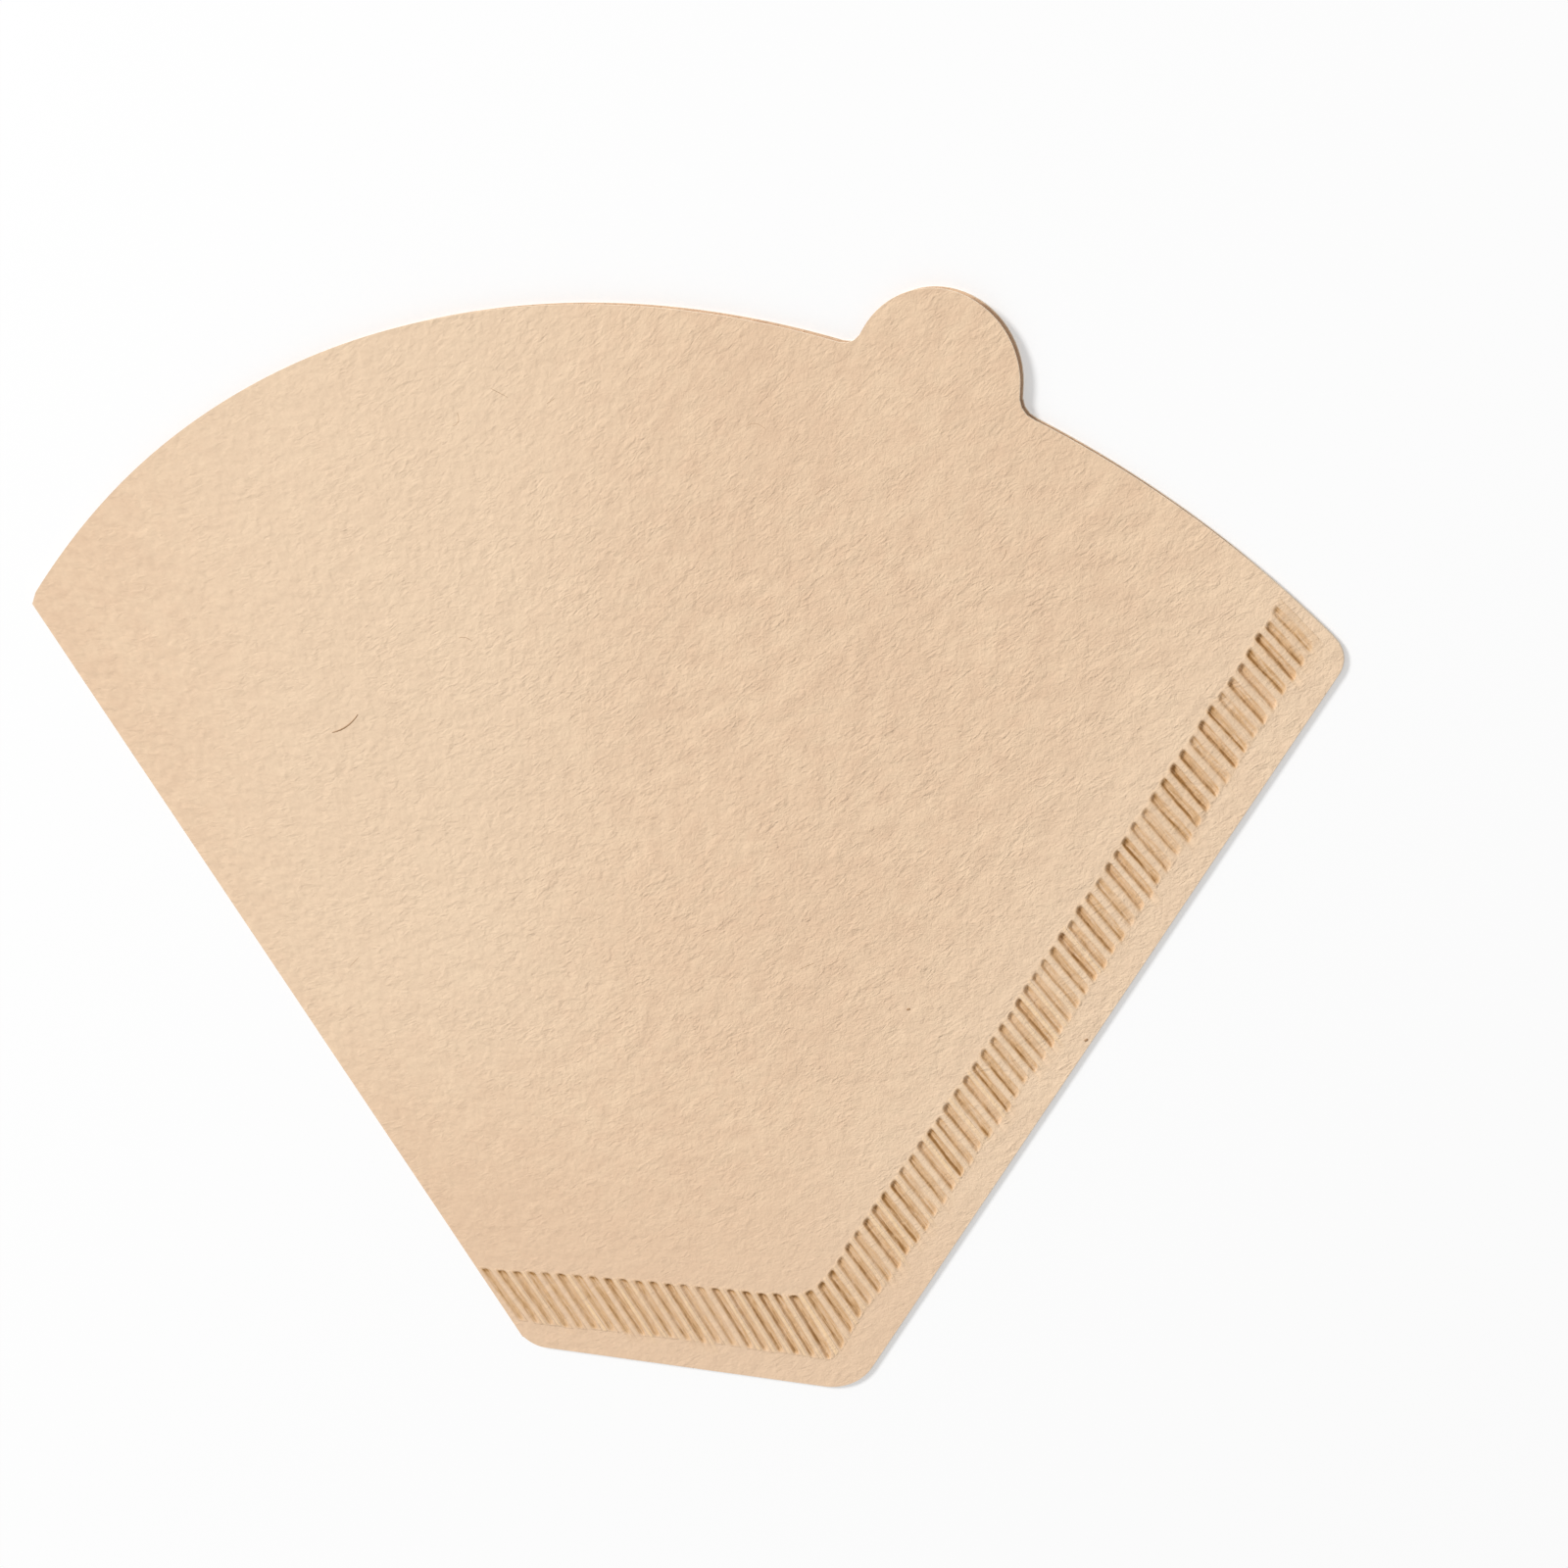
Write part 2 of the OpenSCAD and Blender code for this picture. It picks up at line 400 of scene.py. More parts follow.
@dataclass(frozen=True)
class Ribs:
    """Straight lines across the seam, along the grooves' own direction.

    Head, tail, start and end are places on each line, measured from its middle point: of
    the groove's two ends, and of the line's own.
    """

    middle: Array
    way: Array
    head: Array
    tail: Array
    start: Array
    end: Array

    def points(self, spacing: Spacing) -> tuple[Array, Array, Array]:
        """Points across the seam on every rib.

        Args:
            spacing: how they are shared out.

        Returns:
            Points, ribs by rows by 2; and distance of each from its groove's head and to
            its groove's tail.
        """
        g = spacing
        first, last, low, high = (a[:, None] for a in (self.head, self.tail, self.start, self.end))
        ends = np.array(g.end_rows)
        inner = low * (1 - g.inner_share) + first * g.inner_share - g.inner_gap
        body = np.linspace(0, 1, g.body_rows + 2)[1:-1]
        past = last + g.tail_gap
        rows = [low, inner, first - g.head_gap, first + ends,
                first + ends[-1] + (last - first - 2 * ends[-1]) * body, last - ends[::-1],
                past, past + (high - past) * np.array(g.margin_rows), high - g.edge_gap, high]
        w = np.concatenate(rows, 1)
        return self.middle[:, None] + w[..., None] * self.way[:, None], w - first, last - w


@dataclass(frozen=True)
class CrimpRow:
    """The row of pressed grooves: along the bottom, round the corner and up the side.

    A table gives some of the grooves: number, place along the row, slope, and how far head
    and tail lie from the row's middle line. The others lie evenly between them.
    """

    outline: Outline
    count: int = 73
    bottom_margin: float = 3.6
    bottom_row: float = 7.9
    side_margin: float = 3.3
    side_row: float = 6.0
    turn_r: float = 8.0
    first_at: float = 2.0
    seal_past: float = 0.6
    depth: float = 0.28
    back_lift: float = 0.13
    back_press: float = 0.09
    table: tuple[tuple[float, ...], ...] = (
        (0, -0.30, 53.2, 3.57, 5.00), (2, 4.44, 56.2, 3.77, 4.90),
        (5, 11.29, 57.0, 4.22, 4.55), (6, 13.93, 57.3, 4.25, 4.50),
        (10, 22.83, 58.6, 4.53, 4.20), (15, 33.91, 59.6, 4.75, 4.20),
        (20, 44.66, 60.2, 4.96, 4.35), (21, 47.38, 57.3, 4.91, 2.97),
        (22, 49.69, 55.2, 4.65, 2.14), (24, 54.64, 53.3, 4.38, 2.35),
        (29, 66.37, 51.6, 4.00, 2.75), (34, 77.68, 51.0, 3.50, 3.00),
        (36, 81.75, 50.5, 3.40, 3.00), (37, 84.35, 50.3, 3.30, 3.03),
        (41, 92.88, 49.9, 3.10, 3.15), (47, 104.75, 49.5, 2.97, 3.30),
        (52, 114.70, 49.5, 2.83, 3.25), (54, 119.05, 49.3, 2.80, 3.22),
        (56, 122.58, 49.0, 2.79, 3.22), (60, 130.82, 48.2, 2.73, 3.30),
        (66, 142.39, 48.0, 2.62, 3.20), (70, 149.83, 47.2, 2.50, 3.00),
        (72, 153.18, 46.8, 2.48, 2.80),
    )

    @cached_property
    def bottom_line(self) -> Line:
        """The row's middle line along the bottom."""
        return self.outline.bottom.inset(self.bottom_margin + self.bottom_row / 2)

    @cached_property
    def side_line(self) -> Line:
        """The row's middle line along the side."""
        return self.outline.side.inset(self.side_margin + self.side_row / 2)

    @cached_property
    def turning(self) -> float:
        """Angle through which the row turns at the corner, in degrees."""
        return self.outline.side_angle - self.outline.bottom_skew

    @cached_property
    def start(self) -> Array:
        """Middle of the first groove."""
        return self.bottom_line.meets(self.outline.fold) + self.first_at * self.bottom_line.way

    @cached_property
    def corner(self) -> Array:
        """Where the row's two straight middle lines would meet."""
        return self.bottom_line.meets(self.side_line)

    @cached_property
    def turn_reach(self) -> float:
        """How far before the corner the row begins to turn."""
        return self.turn_r * math.tan(math.radians(self.turning / 2))

    @cached_property
    def straight(self) -> float:
        """Length of the row before its turn."""
        return float(np.linalg.norm(self.corner - self.start)) - self.turn_reach

    @property
    def turn_run(self) -> float:
        """Length of the row's turn."""
        return self.turn_r * math.radians(self.turning)

    def depth_in(self, xy: Array) -> Array:
        """How far points lie inside the seam's inner edge: the less of two distances.

        Args:
            xy: the points.

        Returns:
            The distances, and 0 for points in the seam.
        """
        low = self.outline.bottom.depth(xy) - self.bottom_margin - self.bottom_row
        side = self.outline.side.depth(xy) - self.side_margin - self.side_row
        return np.maximum(np.minimum(low, side) - self.seal_past, 0)

    def place(self, number: Array) -> Array:
        """Where a groove is: between the table's places, and past them as they end.

        Args:
            number: the groove's number, which may be a fraction.

        Returns:
            Distance along the row.
        """
        n, s = np.array(self.table).T[:2]
        below, above = np.minimum(number - n[0], 0), np.maximum(number - n[-1], 0)
        first, last = (s[1] - s[0]) / (n[1] - n[0]), (s[-1] - s[-2]) / (n[-1] - n[-2])
        return np.interp(number, n, s) + below * first + above * last

    def angle(self, s: Array) -> Array:
        """Direction of the row at the distance s, in degrees."""
        turned = np.clip((s - self.straight) / self.turn_run, 0, 1)
        return self.outline.bottom_skew + self.turning * turned

    def middle(self, s: Array) -> Array:
        """The row's middle line: straight, one round turn, straight.

        Args:
            s: distances along the row.

        Returns:
            A point for each.
        """
        along, up = self.bottom_line.way, self.side_line.way
        centre = self.corner - self.turn_reach * along + self.turn_r * left_of(along)
        on_turn = centre - self.turn_r * left_of(unit(self.angle(s)))
        before = np.minimum(s - self.straight, 0)[:, None]
        past = np.maximum(s - (self.straight + self.turn_run), 0)[:, None]
        return on_turn + before * along + past * up

    def groove(self, s: Array) -> tuple[Array, Array, Array]:
        """Slope of the groove at s, and how far its head and its tail are from the middle."""
        _, place, slope, head, tail = np.array(self.table).T
        return np.interp(s, place, slope), np.interp(s, place, head), np.interp(s, place, tail)

    def ribs(self, s: Array) -> Ribs:
        """Straight lines across the seam, one for each distance along the row.

        Each one starts on the seam's inner edge and ends where it leaves the cut outline:
        on the bottom line or the side line, or on the circle of one of the three corners
        that these two lines have.

        Args:
            s: distances along the row.

        Returns:
            The ribs.
        """
        o, p = self.outline, self.middle(s)
        slope, head, tail = self.groove(s)
        g = unit(-slope)
        past = self.seal_past / np.sin(np.radians(slope + self.angle(s)))

        def reach(edge: Line) -> Array:
            """How far the ribs run to a straight edge."""
            return -edge.depth(p) / (g @ left_of(edge.way))

        def round_end(corner: Circle) -> Array:
            """How far the ribs run to the far side of a round corner.

            Args:
                corner: the corner's circle.

            Returns:
                The distance on each rib from its middle point.
            """
            w, r = p - corner.centre, corner.radius
            b = np.sum(w * g, 1)
            return np.sqrt(np.maximum(b * b - np.sum(w * w, 1) + r * r, 0)) - b

        end = np.minimum(reach(o.bottom), reach(o.side))
        tip = p + end[:, None] * g
        past_foot = tip - o.seam_foot.centre
        at_seam = (past_foot @ o.bottom.way > 0) & (past_foot @ o.side.way < 0)
        at_fold = (tip - o.fold_foot.centre) @ o.bottom.way < 0
        at_mouth = (tip - o.seam_top.centre) @ o.side.way > 0
        end = np.where(at_seam, round_end(o.seam_foot), end)
        end = np.where(at_fold, round_end(o.fold_foot), end)
        end = np.where(at_mouth, round_end(o.seam_top), end)
        return Ribs(p, g, -head, tail, -(head + past), end)


@dataclass(frozen=True)
class Groove:
    """How the grooves are pressed: their section, their ends, their tint with painted shade,
    and the ridges with their painted highlight.

    Places across a groove are shares of the pitch, from the groove's middle. Lengths along
    it are millimetres from its head or to its tail. Changes along the row go by the
    groove's number, and each groove's own play is drawn at random.
    """

    seed: int = 11
    hard_play: float = 0.3
    head_play: float = 0.12
    tail_play: float = 0.2
    # Changes along the row
    soft: Slope = Slope(15.0, 6.0)
    square: Slope = Slope(20.0, 28.0)
    last: Slope = Slope(70.5, 72.0)
    last_faint: float = 0.35
    # Section: the steep step on the fold's side, the tilted floor and the rise
    centre: float = 0.02
    step_out: float = 0.29
    step_w: float = 0.12
    step_soft_w: float = 0.06
    rise_in: float = 0.12
    rise_run: float = 0.39
    rise: Slope = Slope(-0.042, 0.098)
    tilt: float = 0.3
    narrowest: float = 0.05
    soft_less: float = 0.3
    # Ends: the round head, which is pressed deeper, and the tail's point
    head_round: float = 0.5
    point: float = 1.6
    point_less: float = 1.1
    head_end: Slope = Slope(-0.06, 0.24)
    tail_end: Slope = Slope(-0.05, 0.45)
    row_end: Slope = Slope(-0.25, 0.25)
    head_deeper: float = 0.25
    head_reach: float = 1.2
    head_far: float = 9.0
    # Darkness: the row's own tint; tint with painted shade on the floor, along a line by the step
    # and at the head
    row_dark: float = 0.18
    floor_tint_and_shade: float = 0.25
    floor_square: float = 0.12
    line_at: float = 0.06
    line_w: float = 0.065
    line_soft_w: float = 0.045
    line_head: Slope = Slope(0.0, 0.3)
    line_tail: Slope = Slope(0.0, 0.6)
    line_tint_and_shade: float = 0.26
    line_square: float = 0.2
    line_soft: float = 0.02
    knob_at: float = 0.3
    knob_long: float = 0.3
    knob_side: Slope = Slope(0.31, 0.19)
    knob_tint_and_shade: float = 0.48
    knob_square: float = 0.16
    dark_play: float = 0.5
    dark_play_soft: float = 0.3
    # The ridge between two grooves, bowed up, with an orange tint and a painted highlight
    ridge_at: float = 0.46
    ridge_half_w: float = 0.26
    ridge_high: float = 0.08
    ridge_near: Slope = Slope(-0.189, -0.119)
    ridge_far: Slope = Slope(0.207, 0.117)
    ridge_tint_and_highlight: float = 0.3
    ridge_plain: Slope = Slope(46.0, 58.0)
    ridge_less: float = 0.7

    def sides(self, head: Array, tail: Array, squared: Array) -> tuple[Array, Array]:
        """Where the steep step and the rise stand, across the groove.

        At the head both go out from the centre along a quarter round. Over the last stretch
        to the tail the rise runs in towards the step, by a square root.

        Args:
            head: distance from the groove's head.
            tail: distance to the groove's tail.
            squared: 0 for a groove that ends in a point, 1 for one that is nearly square.

        Returns:
            Place of the step, and place of the rise.
        """
        pinch = np.sqrt(np.clip(1 - np.clip(1 - head / self.head_round, 0, 1) ** 2, 0, 1))
        taper = np.sqrt(np.clip(tail / (self.point - self.point_less * squared), 0, 1))
        left = self.centre - self.step_out * pinch
        right = self.centre + (-self.rise_in + self.rise_run * taper) * pinch
        return left, right

    def press(self, count: int, number: Array, phase: Array, head: Array,
              tail: Array) -> tuple[Array, Array]:
        """Depth and darkness of the pressed grooves.

        Across a groove the depth is a short steep step on the fold's side, a floor that
        rises slowly, and a longer step up. The groove is round at its head, and ends in a
        point, or nearly square beyond the corner. The first grooves beside the fold are
        pressed softly, and the last two faintly. The ridge between two grooves is bowed
        up, a cosine squared. Darkness follows the steep step, the head and the floor: partly
        the pressed paper's tint and partly painted shade in the recess. The whole row is a
        little darker, and the ridges are paler, with an orange tint and a painted highlight.

        Args:
            count: how many grooves the row has.
            number: each rib's groove number.
            phase: place in the pitch, from the groove's middle.
            head: distance from the groove's head, ribs by rows.
            tail: distance to the groove's tail.

        Returns:
            Depth, and darkness up to 1, the pressed tint with painted shade, or below 0 where a
            painted highlight makes it paler, ribs by rows.
        """
        rng = np.random.default_rng(self.seed)
        k = np.clip(number, 0, count)
        drawn = rng.uniform(-1, 1, (4, count + 1))[:, k, None]
        hard, dark = 1 + self.hard_play * drawn[0], drawn[1]
        head, tail = head + self.head_play * drawn[2], tail + self.tail_play * drawn[3]
        f, at = phase[:, None], (number + phase)[:, None]
        soft, squared = self.soft.at(at), self.square.at(at)
        faint = 1 - self.last_faint * self.last.at(at)

        left, right = self.sides(head, tail, squared)
        step = ease((f - left) / (self.step_w + self.step_soft_w * soft))
        inside = step * self.rise.at(right - f)
        ends = self.head_end.at(head) * self.tail_end.at(tail)
        tilt = 1 - self.tilt * np.clip((f - left) / np.maximum(right - left, self.narrowest), 0, 1)
        at_head = np.exp(-np.clip(head, 0, self.head_far) / self.head_reach)
        deep = inside * ends * tilt * (1 + self.head_deeper * at_head)
        deep = deep * hard * (1 - self.soft_less * soft) * faint

        # Painted shade over the pressed paper's tint, where the recess falls in shade: a line along
        # the steep step, a spot at the head, and a lighter one over the floor
        line = np.exp(-((f - left - self.line_at) / (self.line_w + self.line_soft_w * soft)) ** 2)
        line = line * self.line_head.at(head) * self.line_tail.at(tail)
        line = line * (self.line_tint_and_shade + self.line_square * squared - self.line_soft * soft)
        head_tint_and_shade = np.exp(-((head - self.knob_at) / self.knob_long) ** 2) * self.knob_side.at(np.abs(f))
        head_tint_and_shade = head_tint_and_shade * (self.knob_tint_and_shade - self.knob_square * squared)
        floor = self.floor_tint_and_shade * (1 - self.floor_square * squared) * inside * ends
        uneven = (1 + (self.dark_play - self.dark_play_soft * soft) * dark) * faint

        within = self.row_end.at(head) * self.row_end.at(tail)
        off = (f - self.ridge_at + 0.5) % 1.0 - 0.5
        crest = np.cos(np.clip(off / self.ridge_half_w, -1, 1) * math.pi / 2) ** 2
        top = self.ridge_near.at(off) * self.ridge_far.at(off) * within * faint
        # Painted highlight on the ridges, with a little orange tint: the mark goes below 0 there
        pale = self.ridge_tint_and_highlight * hard * (1 - self.ridge_less * self.ridge_plain.at(k[:, None]))
        tint_shade_and_highlight = self.row_dark * within - pale * top + uneven * (floor + np.maximum(line, head_tint_and_shade))
        return deep - self.ridge_high * crest * within * faint, tint_shade_and_highlight


# Meshes


class Skin(IntEnum):
    """Which finish a face of the sheet takes."""

    WALL = 0
    CUT = 1


@dataclass
class Patchwork:
    """Grids of points and their faces, which are welded along their shared edges."""

    points: list[Array] = field(default_factory=list)
    faces: list[Array] = field(default_factory=list)
    finishes: list[Array] = field(default_factory=list)
    marks: list[Array] = field(default_factory=list)
    size: int = 0

    def add(self, points: Array, mark: Array | float = 0.0) -> Array:
        """Keep a grid of points.

        Args:
            points: the grid.
            mark: its marks, three to a point.

        Returns:
            The grid of their numbers.
        """
        flat = points.reshape(-1, 3)
        self.points.append(flat)
        self.marks.append(np.broadcast_to(mark, points.shape).reshape(-1, 3).astype(float))
        numbers = np.arange(self.size, self.size + len(flat)).reshape(points.shape[:-1])
        self.size += len(flat)
        return numbers

    def quads(self, numbers: Array, finish: Skin = Skin.WALL) -> None:
        """Fill a grid of points with four-cornered faces.

        Args:
            numbers: the grid of the points' numbers.
            finish: what the faces take.
        """
        n = numbers
        faces = np.stack([n[:-1, :-1], n[1:, :-1], n[1:, 1:], n[:-1, 1:]], -1).reshape(-1, 4)
        self.keep(faces, finish)

    def keep(self, faces: Array, finish: Skin = Skin.WALL) -> None:
        """Keep a table of faces with three or four corners."""
        self.faces.append(faces)
        self.finishes.append(np.full(len(faces), int(finish)))

    def fan(self, near: Array, far: Array, step: int) -> None:
        """Join a fine edge to a coarse row.

        Half of the fine points are joined to one coarse point and half to the next, and
        one triangle closes the field between them.

        Args:
            near: numbers of the fine edge's points.
            far: numbers of the coarse row's points.
            step: how many fine parts go to each coarse one.
        """
        cells = len(far) - 1
        part = near[np.arange(cells)[:, None] * step + np.arange(step + 1)[None]]
        a, b, h = far[:-1], far[1:], step // 2
        for i in range(step):
            self.keep(np.stack([part[:, i], part[:, i + 1], a if i < h else b], -1))
        self.keep(np.stack([a, part[:, h], b], -1))

    def mesh(self, name: str, sharp: float = 62.0) -> bpy.types.Mesh:
        """Weld points that share a place, and make the mesh in metres.

        A face that has two of its corners welded together becomes a triangle, and one
        that has more is left out.

        Args:
            name: name of the mesh.
            sharp: angle in degrees past which an edge is shaded as an edge.

        Returns:
            The mesh, smooth, with the marks as its attribute "pressed": how dark the paper
            is pressed there, tint with painted shade or, below 0, a painted highlight, and the
            place along and across the row, in millimetres.
        """
        points, marks = np.concatenate(self.points), np.concatenate(self.marks)
        keys = np.round(points / SAME_PLACE).astype(np.int64)
        _, first, back = np.unique(keys, axis=0, return_index=True, return_inverse=True)
        back = back.reshape(-1)
        faces: list[list[int]] = []
        finishes: list[Array] = []
        for table, finish in zip(self.faces, self.finishes):
            table = back[table]
            same = table == np.roll(table, -1, axis=1)
            whole = ~same.any(axis=1)
            faces += table[whole].tolist()
            finishes.append(finish[whole])
            if table.shape[1] == 4:
                for k in range(4):
                    pinched = same[:, k] & (same.sum(axis=1) == 1)
                    faces += np.delete(table[pinched], k, axis=1).tolist()
                    finishes.append(finish[pinched])
        mesh = bpy.data.meshes.new(name)
        mesh.from_pydata((points[first] * MM).tolist(), [], faces)
        mesh.polygons.foreach_set("material_index", np.concatenate(finishes).astype(np.int32))
        pressed = mesh.attributes.new("pressed", "FLOAT_VECTOR", "POINT")
        pressed.data.foreach_set("vector", marks[first].reshape(-1).astype(np.float32))
        mesh.shade_smooth()
        mesh.set_sharp_from_angle(angle=math.radians(sharp))
        mesh.update()
        return mesh


# Finishes


class Maths(Enum):
    """The sums that a Math node does."""

    ADD = "ADD"
    SUBTRACT = "SUBTRACT"
    MULTIPLY = "MULTIPLY"
    DIVIDE = "DIVIDE"
    MINIMUM = "MINIMUM"
    MAXIMUM = "MAXIMUM"
    ABSOLUTE = "ABSOLUTE"


class Blend(Enum):
    """How one colour is laid on another."""

    MIX = "MIX"
    MULTIPLY = "MULTIPLY"


class Ramp(Enum):
    """How a value goes from one level to another."""

    EVEN = "LINEAR"
    EASED = "SMOOTHSTEP"


@dataclass(frozen=True)
class Fade:
    """A level that follows a value: from one level at its low end to another at its high."""

    low: float
    high: float
    at_low: float = 0.0
    at_high: float = 1.0
    ramp: Ramp = Ramp.EVEN


@dataclass(frozen=True)
class Layer:
    """One noise: its grain's size in millimetres, its detail and how far it is bent."""

    size: Triple
    detail: float = 2.0
    rough: float = 0.5
    bent: float = 0.0


class Shader:
    """A node tree that is filled by short calls."""

    def __init__(self, tree: bpy.types.NodeTree) -> None:
        """Take an empty tree."""
        self.tree = tree
        self.column = 0

    @classmethod
    def of(cls, owner: bpy.types.Material | bpy.types.World) -> "Shader":
        """Take the tree of a material or a world, emptied.

        Args:
            owner: the material or the world.

        Returns:
            The shader.
        """
        owner.use_nodes = True
        owner.node_tree.nodes.clear()
        return cls(owner.node_tree)

    def add(self, kind: str, inputs: dict[str | int, object] | None = None,
            **settings: object) -> bpy.types.Node:
        """Add a node.

        Args:
            kind: the node's type, without its ShaderNode prefix.
            inputs: what each input takes: a socket to link, or a value.
            settings: the node's own settings.

        Returns:
            The node.
        """
        name = kind if kind.startswith("NodeGroup") else f"ShaderNode{kind}"
        made = self.tree.nodes.new(name)
        made.location = (self.column * NODE_APART, 0)
        self.column += 1
        for key, value in settings.items():
            setattr(made, key, value)
        for key, value in (inputs or {}).items():
            if isinstance(value, Socket):
                self.tree.links.new(value, made.inputs[key])
            else:
                made.inputs[key].default_value = value
        return made

    def math(self, kind: Maths, a: Socket | float, b: Socket | float = 0.0) -> Socket:
        """A Math node's result."""
        return self.add("Math", {0: a, 1: b}, operation=kind.value).outputs[0]

    def times(self, a: Socket, b: Socket | float) -> Socket:
        """One value times another."""
        return self.math(Maths.MULTIPLY, a, b)

    def plus(self, a: Socket, b: Socket | float) -> Socket:
        """One value and another."""
        return self.math(Maths.ADD, a, b)

    def fade(self, value: Socket, by: Fade) -> Socket:
        """The level that follows a value.

        Args:
            value: the value.
            by: how the level follows it.

        Returns:
            The level.
        """
        ends = {"Value": value, "From Min": by.low, "From Max": by.high,
                "To Min": by.at_low, "To Max": by.at_high}
        return self.add("MapRange", ends, interpolation_type=by.ramp.value).outputs["Result"]

    def apart(self, vector: Socket) -> list[Socket]:
        """The three numbers of a vector."""
        return list(self.add("SeparateXYZ", {0: vector}).outputs)

    def mix(self, share: Socket | float, a: Socket | Colour, b: Socket | Colour,
            blend: Blend = Blend.MIX) -> Socket:
        """A mix of two colours."""
        return self.add("Mix", {0: share, 6: a, 7: b}, data_type="RGBA",
                        blend_type=blend.value).outputs[2]

    def noise(self, place: Socket, layer: Layer, turn: float = 0.0,
              rough: Socket | None = None) -> Socket:
        """A noise whose grain has the layer's size and lies at an angle.

        Args:
            place: the place, in millimetres.
            layer: the noise.
            turn: the angle of its grain from X, in degrees.
            rough: a roughness that changes from place to place.

        Returns:
            The noise, about 0.5.
        """
        turned = self.add("Mapping", {"Vector": place, "Rotation": (0, 0, math.radians(-turn))})
        grain = self.add("Mapping", {"Vector": turned.outputs[0],
                                     "Scale": tuple(1 / size for size in layer.size)})
        made = self.add("TexNoise", {"Vector": grain.outputs[0], "Scale": 1.0,
                                     "Detail": layer.detail, "Distortion": layer.bent,
                                     "Roughness": layer.rough if rough is None else rough})
        return made.outputs["Fac"]

    def millimetres(self) -> Socket:
        """The place on the piece, in millimetres."""
        place = self.add("TexCoord").outputs["Object"]
        return self.add("Mapping", {"Vector": place, "Scale": (1 / MM,) * 3}).outputs[0]

    def seen(self) -> Socket:
        """Ask Light Path what looks at the surface.

        Returns:
            1 for what the camera, a reflection or clear glass sees directly, else 0.
        """
        path = self.add("LightPath").outputs
        either = self.math(Maths.MAXIMUM, path["Is Camera Ray"], path["Is Glossy Ray"])
        return self.math(Maths.MAXIMUM, either, path["Is Transmission Ray"])


@dataclass(frozen=True)
class PaperGrain:
    """The grain of filter paper, as one node group that every paper finish shares.

    Coordinates go in, in millimetres. Out come the height of the grain, a slow mottle, a
    slower warmth and a fine speck tone that also carries the streaks as painted light and
    shade. The height is patches of short streaks that lie side by side, a crumple and a
    swell. It is calmer by the fold, the bottom and the mouth, and crisper on the right.
    The grain lies at one angle over most of the sheet and turns flatter towards the fold:
    the distance across it is lessened by the square of how far left of the turn a point is.
    """

    name: str = "paper_grain"
    lie: float = 37.0
    turn_at: float = 12.0
    turn: float = 0.0026
    streak: Layer = Layer((1.45, 0.5, 2.0), 1.0, 0.4, 1.0)
    crumple: Layer = Layer((1.0, 0.9, 2.0), 3.0, 0.5, 0.3)
    swell: Layer = Layer((3.4, 2.6, 5.0), 1.0, 0.5, 0.2)
    patch: Layer = Layer((3.4, 3.4, 6.0))
    mottle: Layer = Layer((3.6, 2.2, 6.0), 3.0, 0.6, 0.2)
    warmth: Layer = Layer((17.0, 17.0, 20.0), 1.0)
    speck: Layer = Layer((0.42, 0.26, 1.0), 1.0)
    streak_high: float = 0.56
    crumple_high: float = 0.88
    swell_high: float = 0.95
    streak_painted_shade: float = 0.9
    speck_tone: float = 0.5
    in_patch: Fade = Fade(0.38, 0.62, 0.25, 1.0, Ramp.EASED)
    crisper: Fade = Fade(-64.0, 30.0, 0.1, 0.74)
    calm_fold: Fade = Fade(-64.0, -5.0, 0.66, 1.0)
    calm_bottom: Fade = Fade(-54.0, -21.0, 0.6, 1.0)
    calm_mouth: Fade = Fade(34.0, 58.0, 1.0, 0.8)

    def group(self) -> bpy.types.NodeTree:
        """Find the group, or build it the first time.

        Returns:
            The group.
        """
        found = bpy.data.node_groups.get(self.name)
        if found:
            return found
        tree = bpy.data.node_groups.new(self.name, "ShaderNodeTree")
        tree.interface.new_socket("Millimetres", in_out="INPUT", socket_type="NodeSocketVector")
        for label in ("Height", "Mottle", "Warmth", "SpeckAndStreakShade"):
            tree.interface.new_socket(label, in_out="OUTPUT", socket_type="NodeSocketFloat")
        s = Shader(tree)
        mm = s.add("NodeGroupInput").outputs[0]
        x, y = s.apart(mm)[:2]

        left = s.math(Maths.MINIMUM, s.math(Maths.SUBTRACT, x, self.turn_at), 0.0)
        sag = s.times(s.times(left, left), -self.turn)
        across = (*left_of(unit(self.lie)), 0.0)
        lowered = s.add("VectorMath", {0: across, "Scale": sag}, operation="SCALE").outputs[0]
        bent = s.add("VectorMath", {0: mm, 1: lowered}, operation="ADD").outputs[0]

        streak = s.noise(bent, self.streak, self.lie)
        crumple = s.noise(bent, self.crumple, self.lie, s.fade(x, self.crisper))
        swell = s.noise(bent, self.swell, self.lie)
        patch = s.fade(s.noise(mm, self.patch), self.in_patch)
        streaks = s.times(s.math(Maths.SUBTRACT, streak, 0.5), patch)
        height = s.plus(s.times(streaks, self.streak_high), s.times(crumple, self.crumple_high))
        height = s.plus(height, s.times(swell, self.swell_high))
        calm = s.times(s.fade(x, self.calm_fold), s.fade(y, self.calm_bottom))
        height = s.times(height, s.times(calm, s.fade(y, self.calm_mouth)))

        mottle = s.noise(bent, self.mottle, self.lie)
        warmth = s.noise(mm, self.warmth)
        speck = s.noise(bent, self.speck, self.lie)
        # Speck tone plus the grain's streaks painted in as light and shade, matching the bump's
        # relief
        speck_and_streak_shade = s.plus(s.times(streaks, self.streak_painted_shade), s.times(speck, self.speck_tone))
        out = s.add("NodeGroupOutput")
        for k, value in enumerate((height, mottle, warmth, speck_and_streak_shade)):
            tree.links.new(value, out.inputs[k])
        return tree


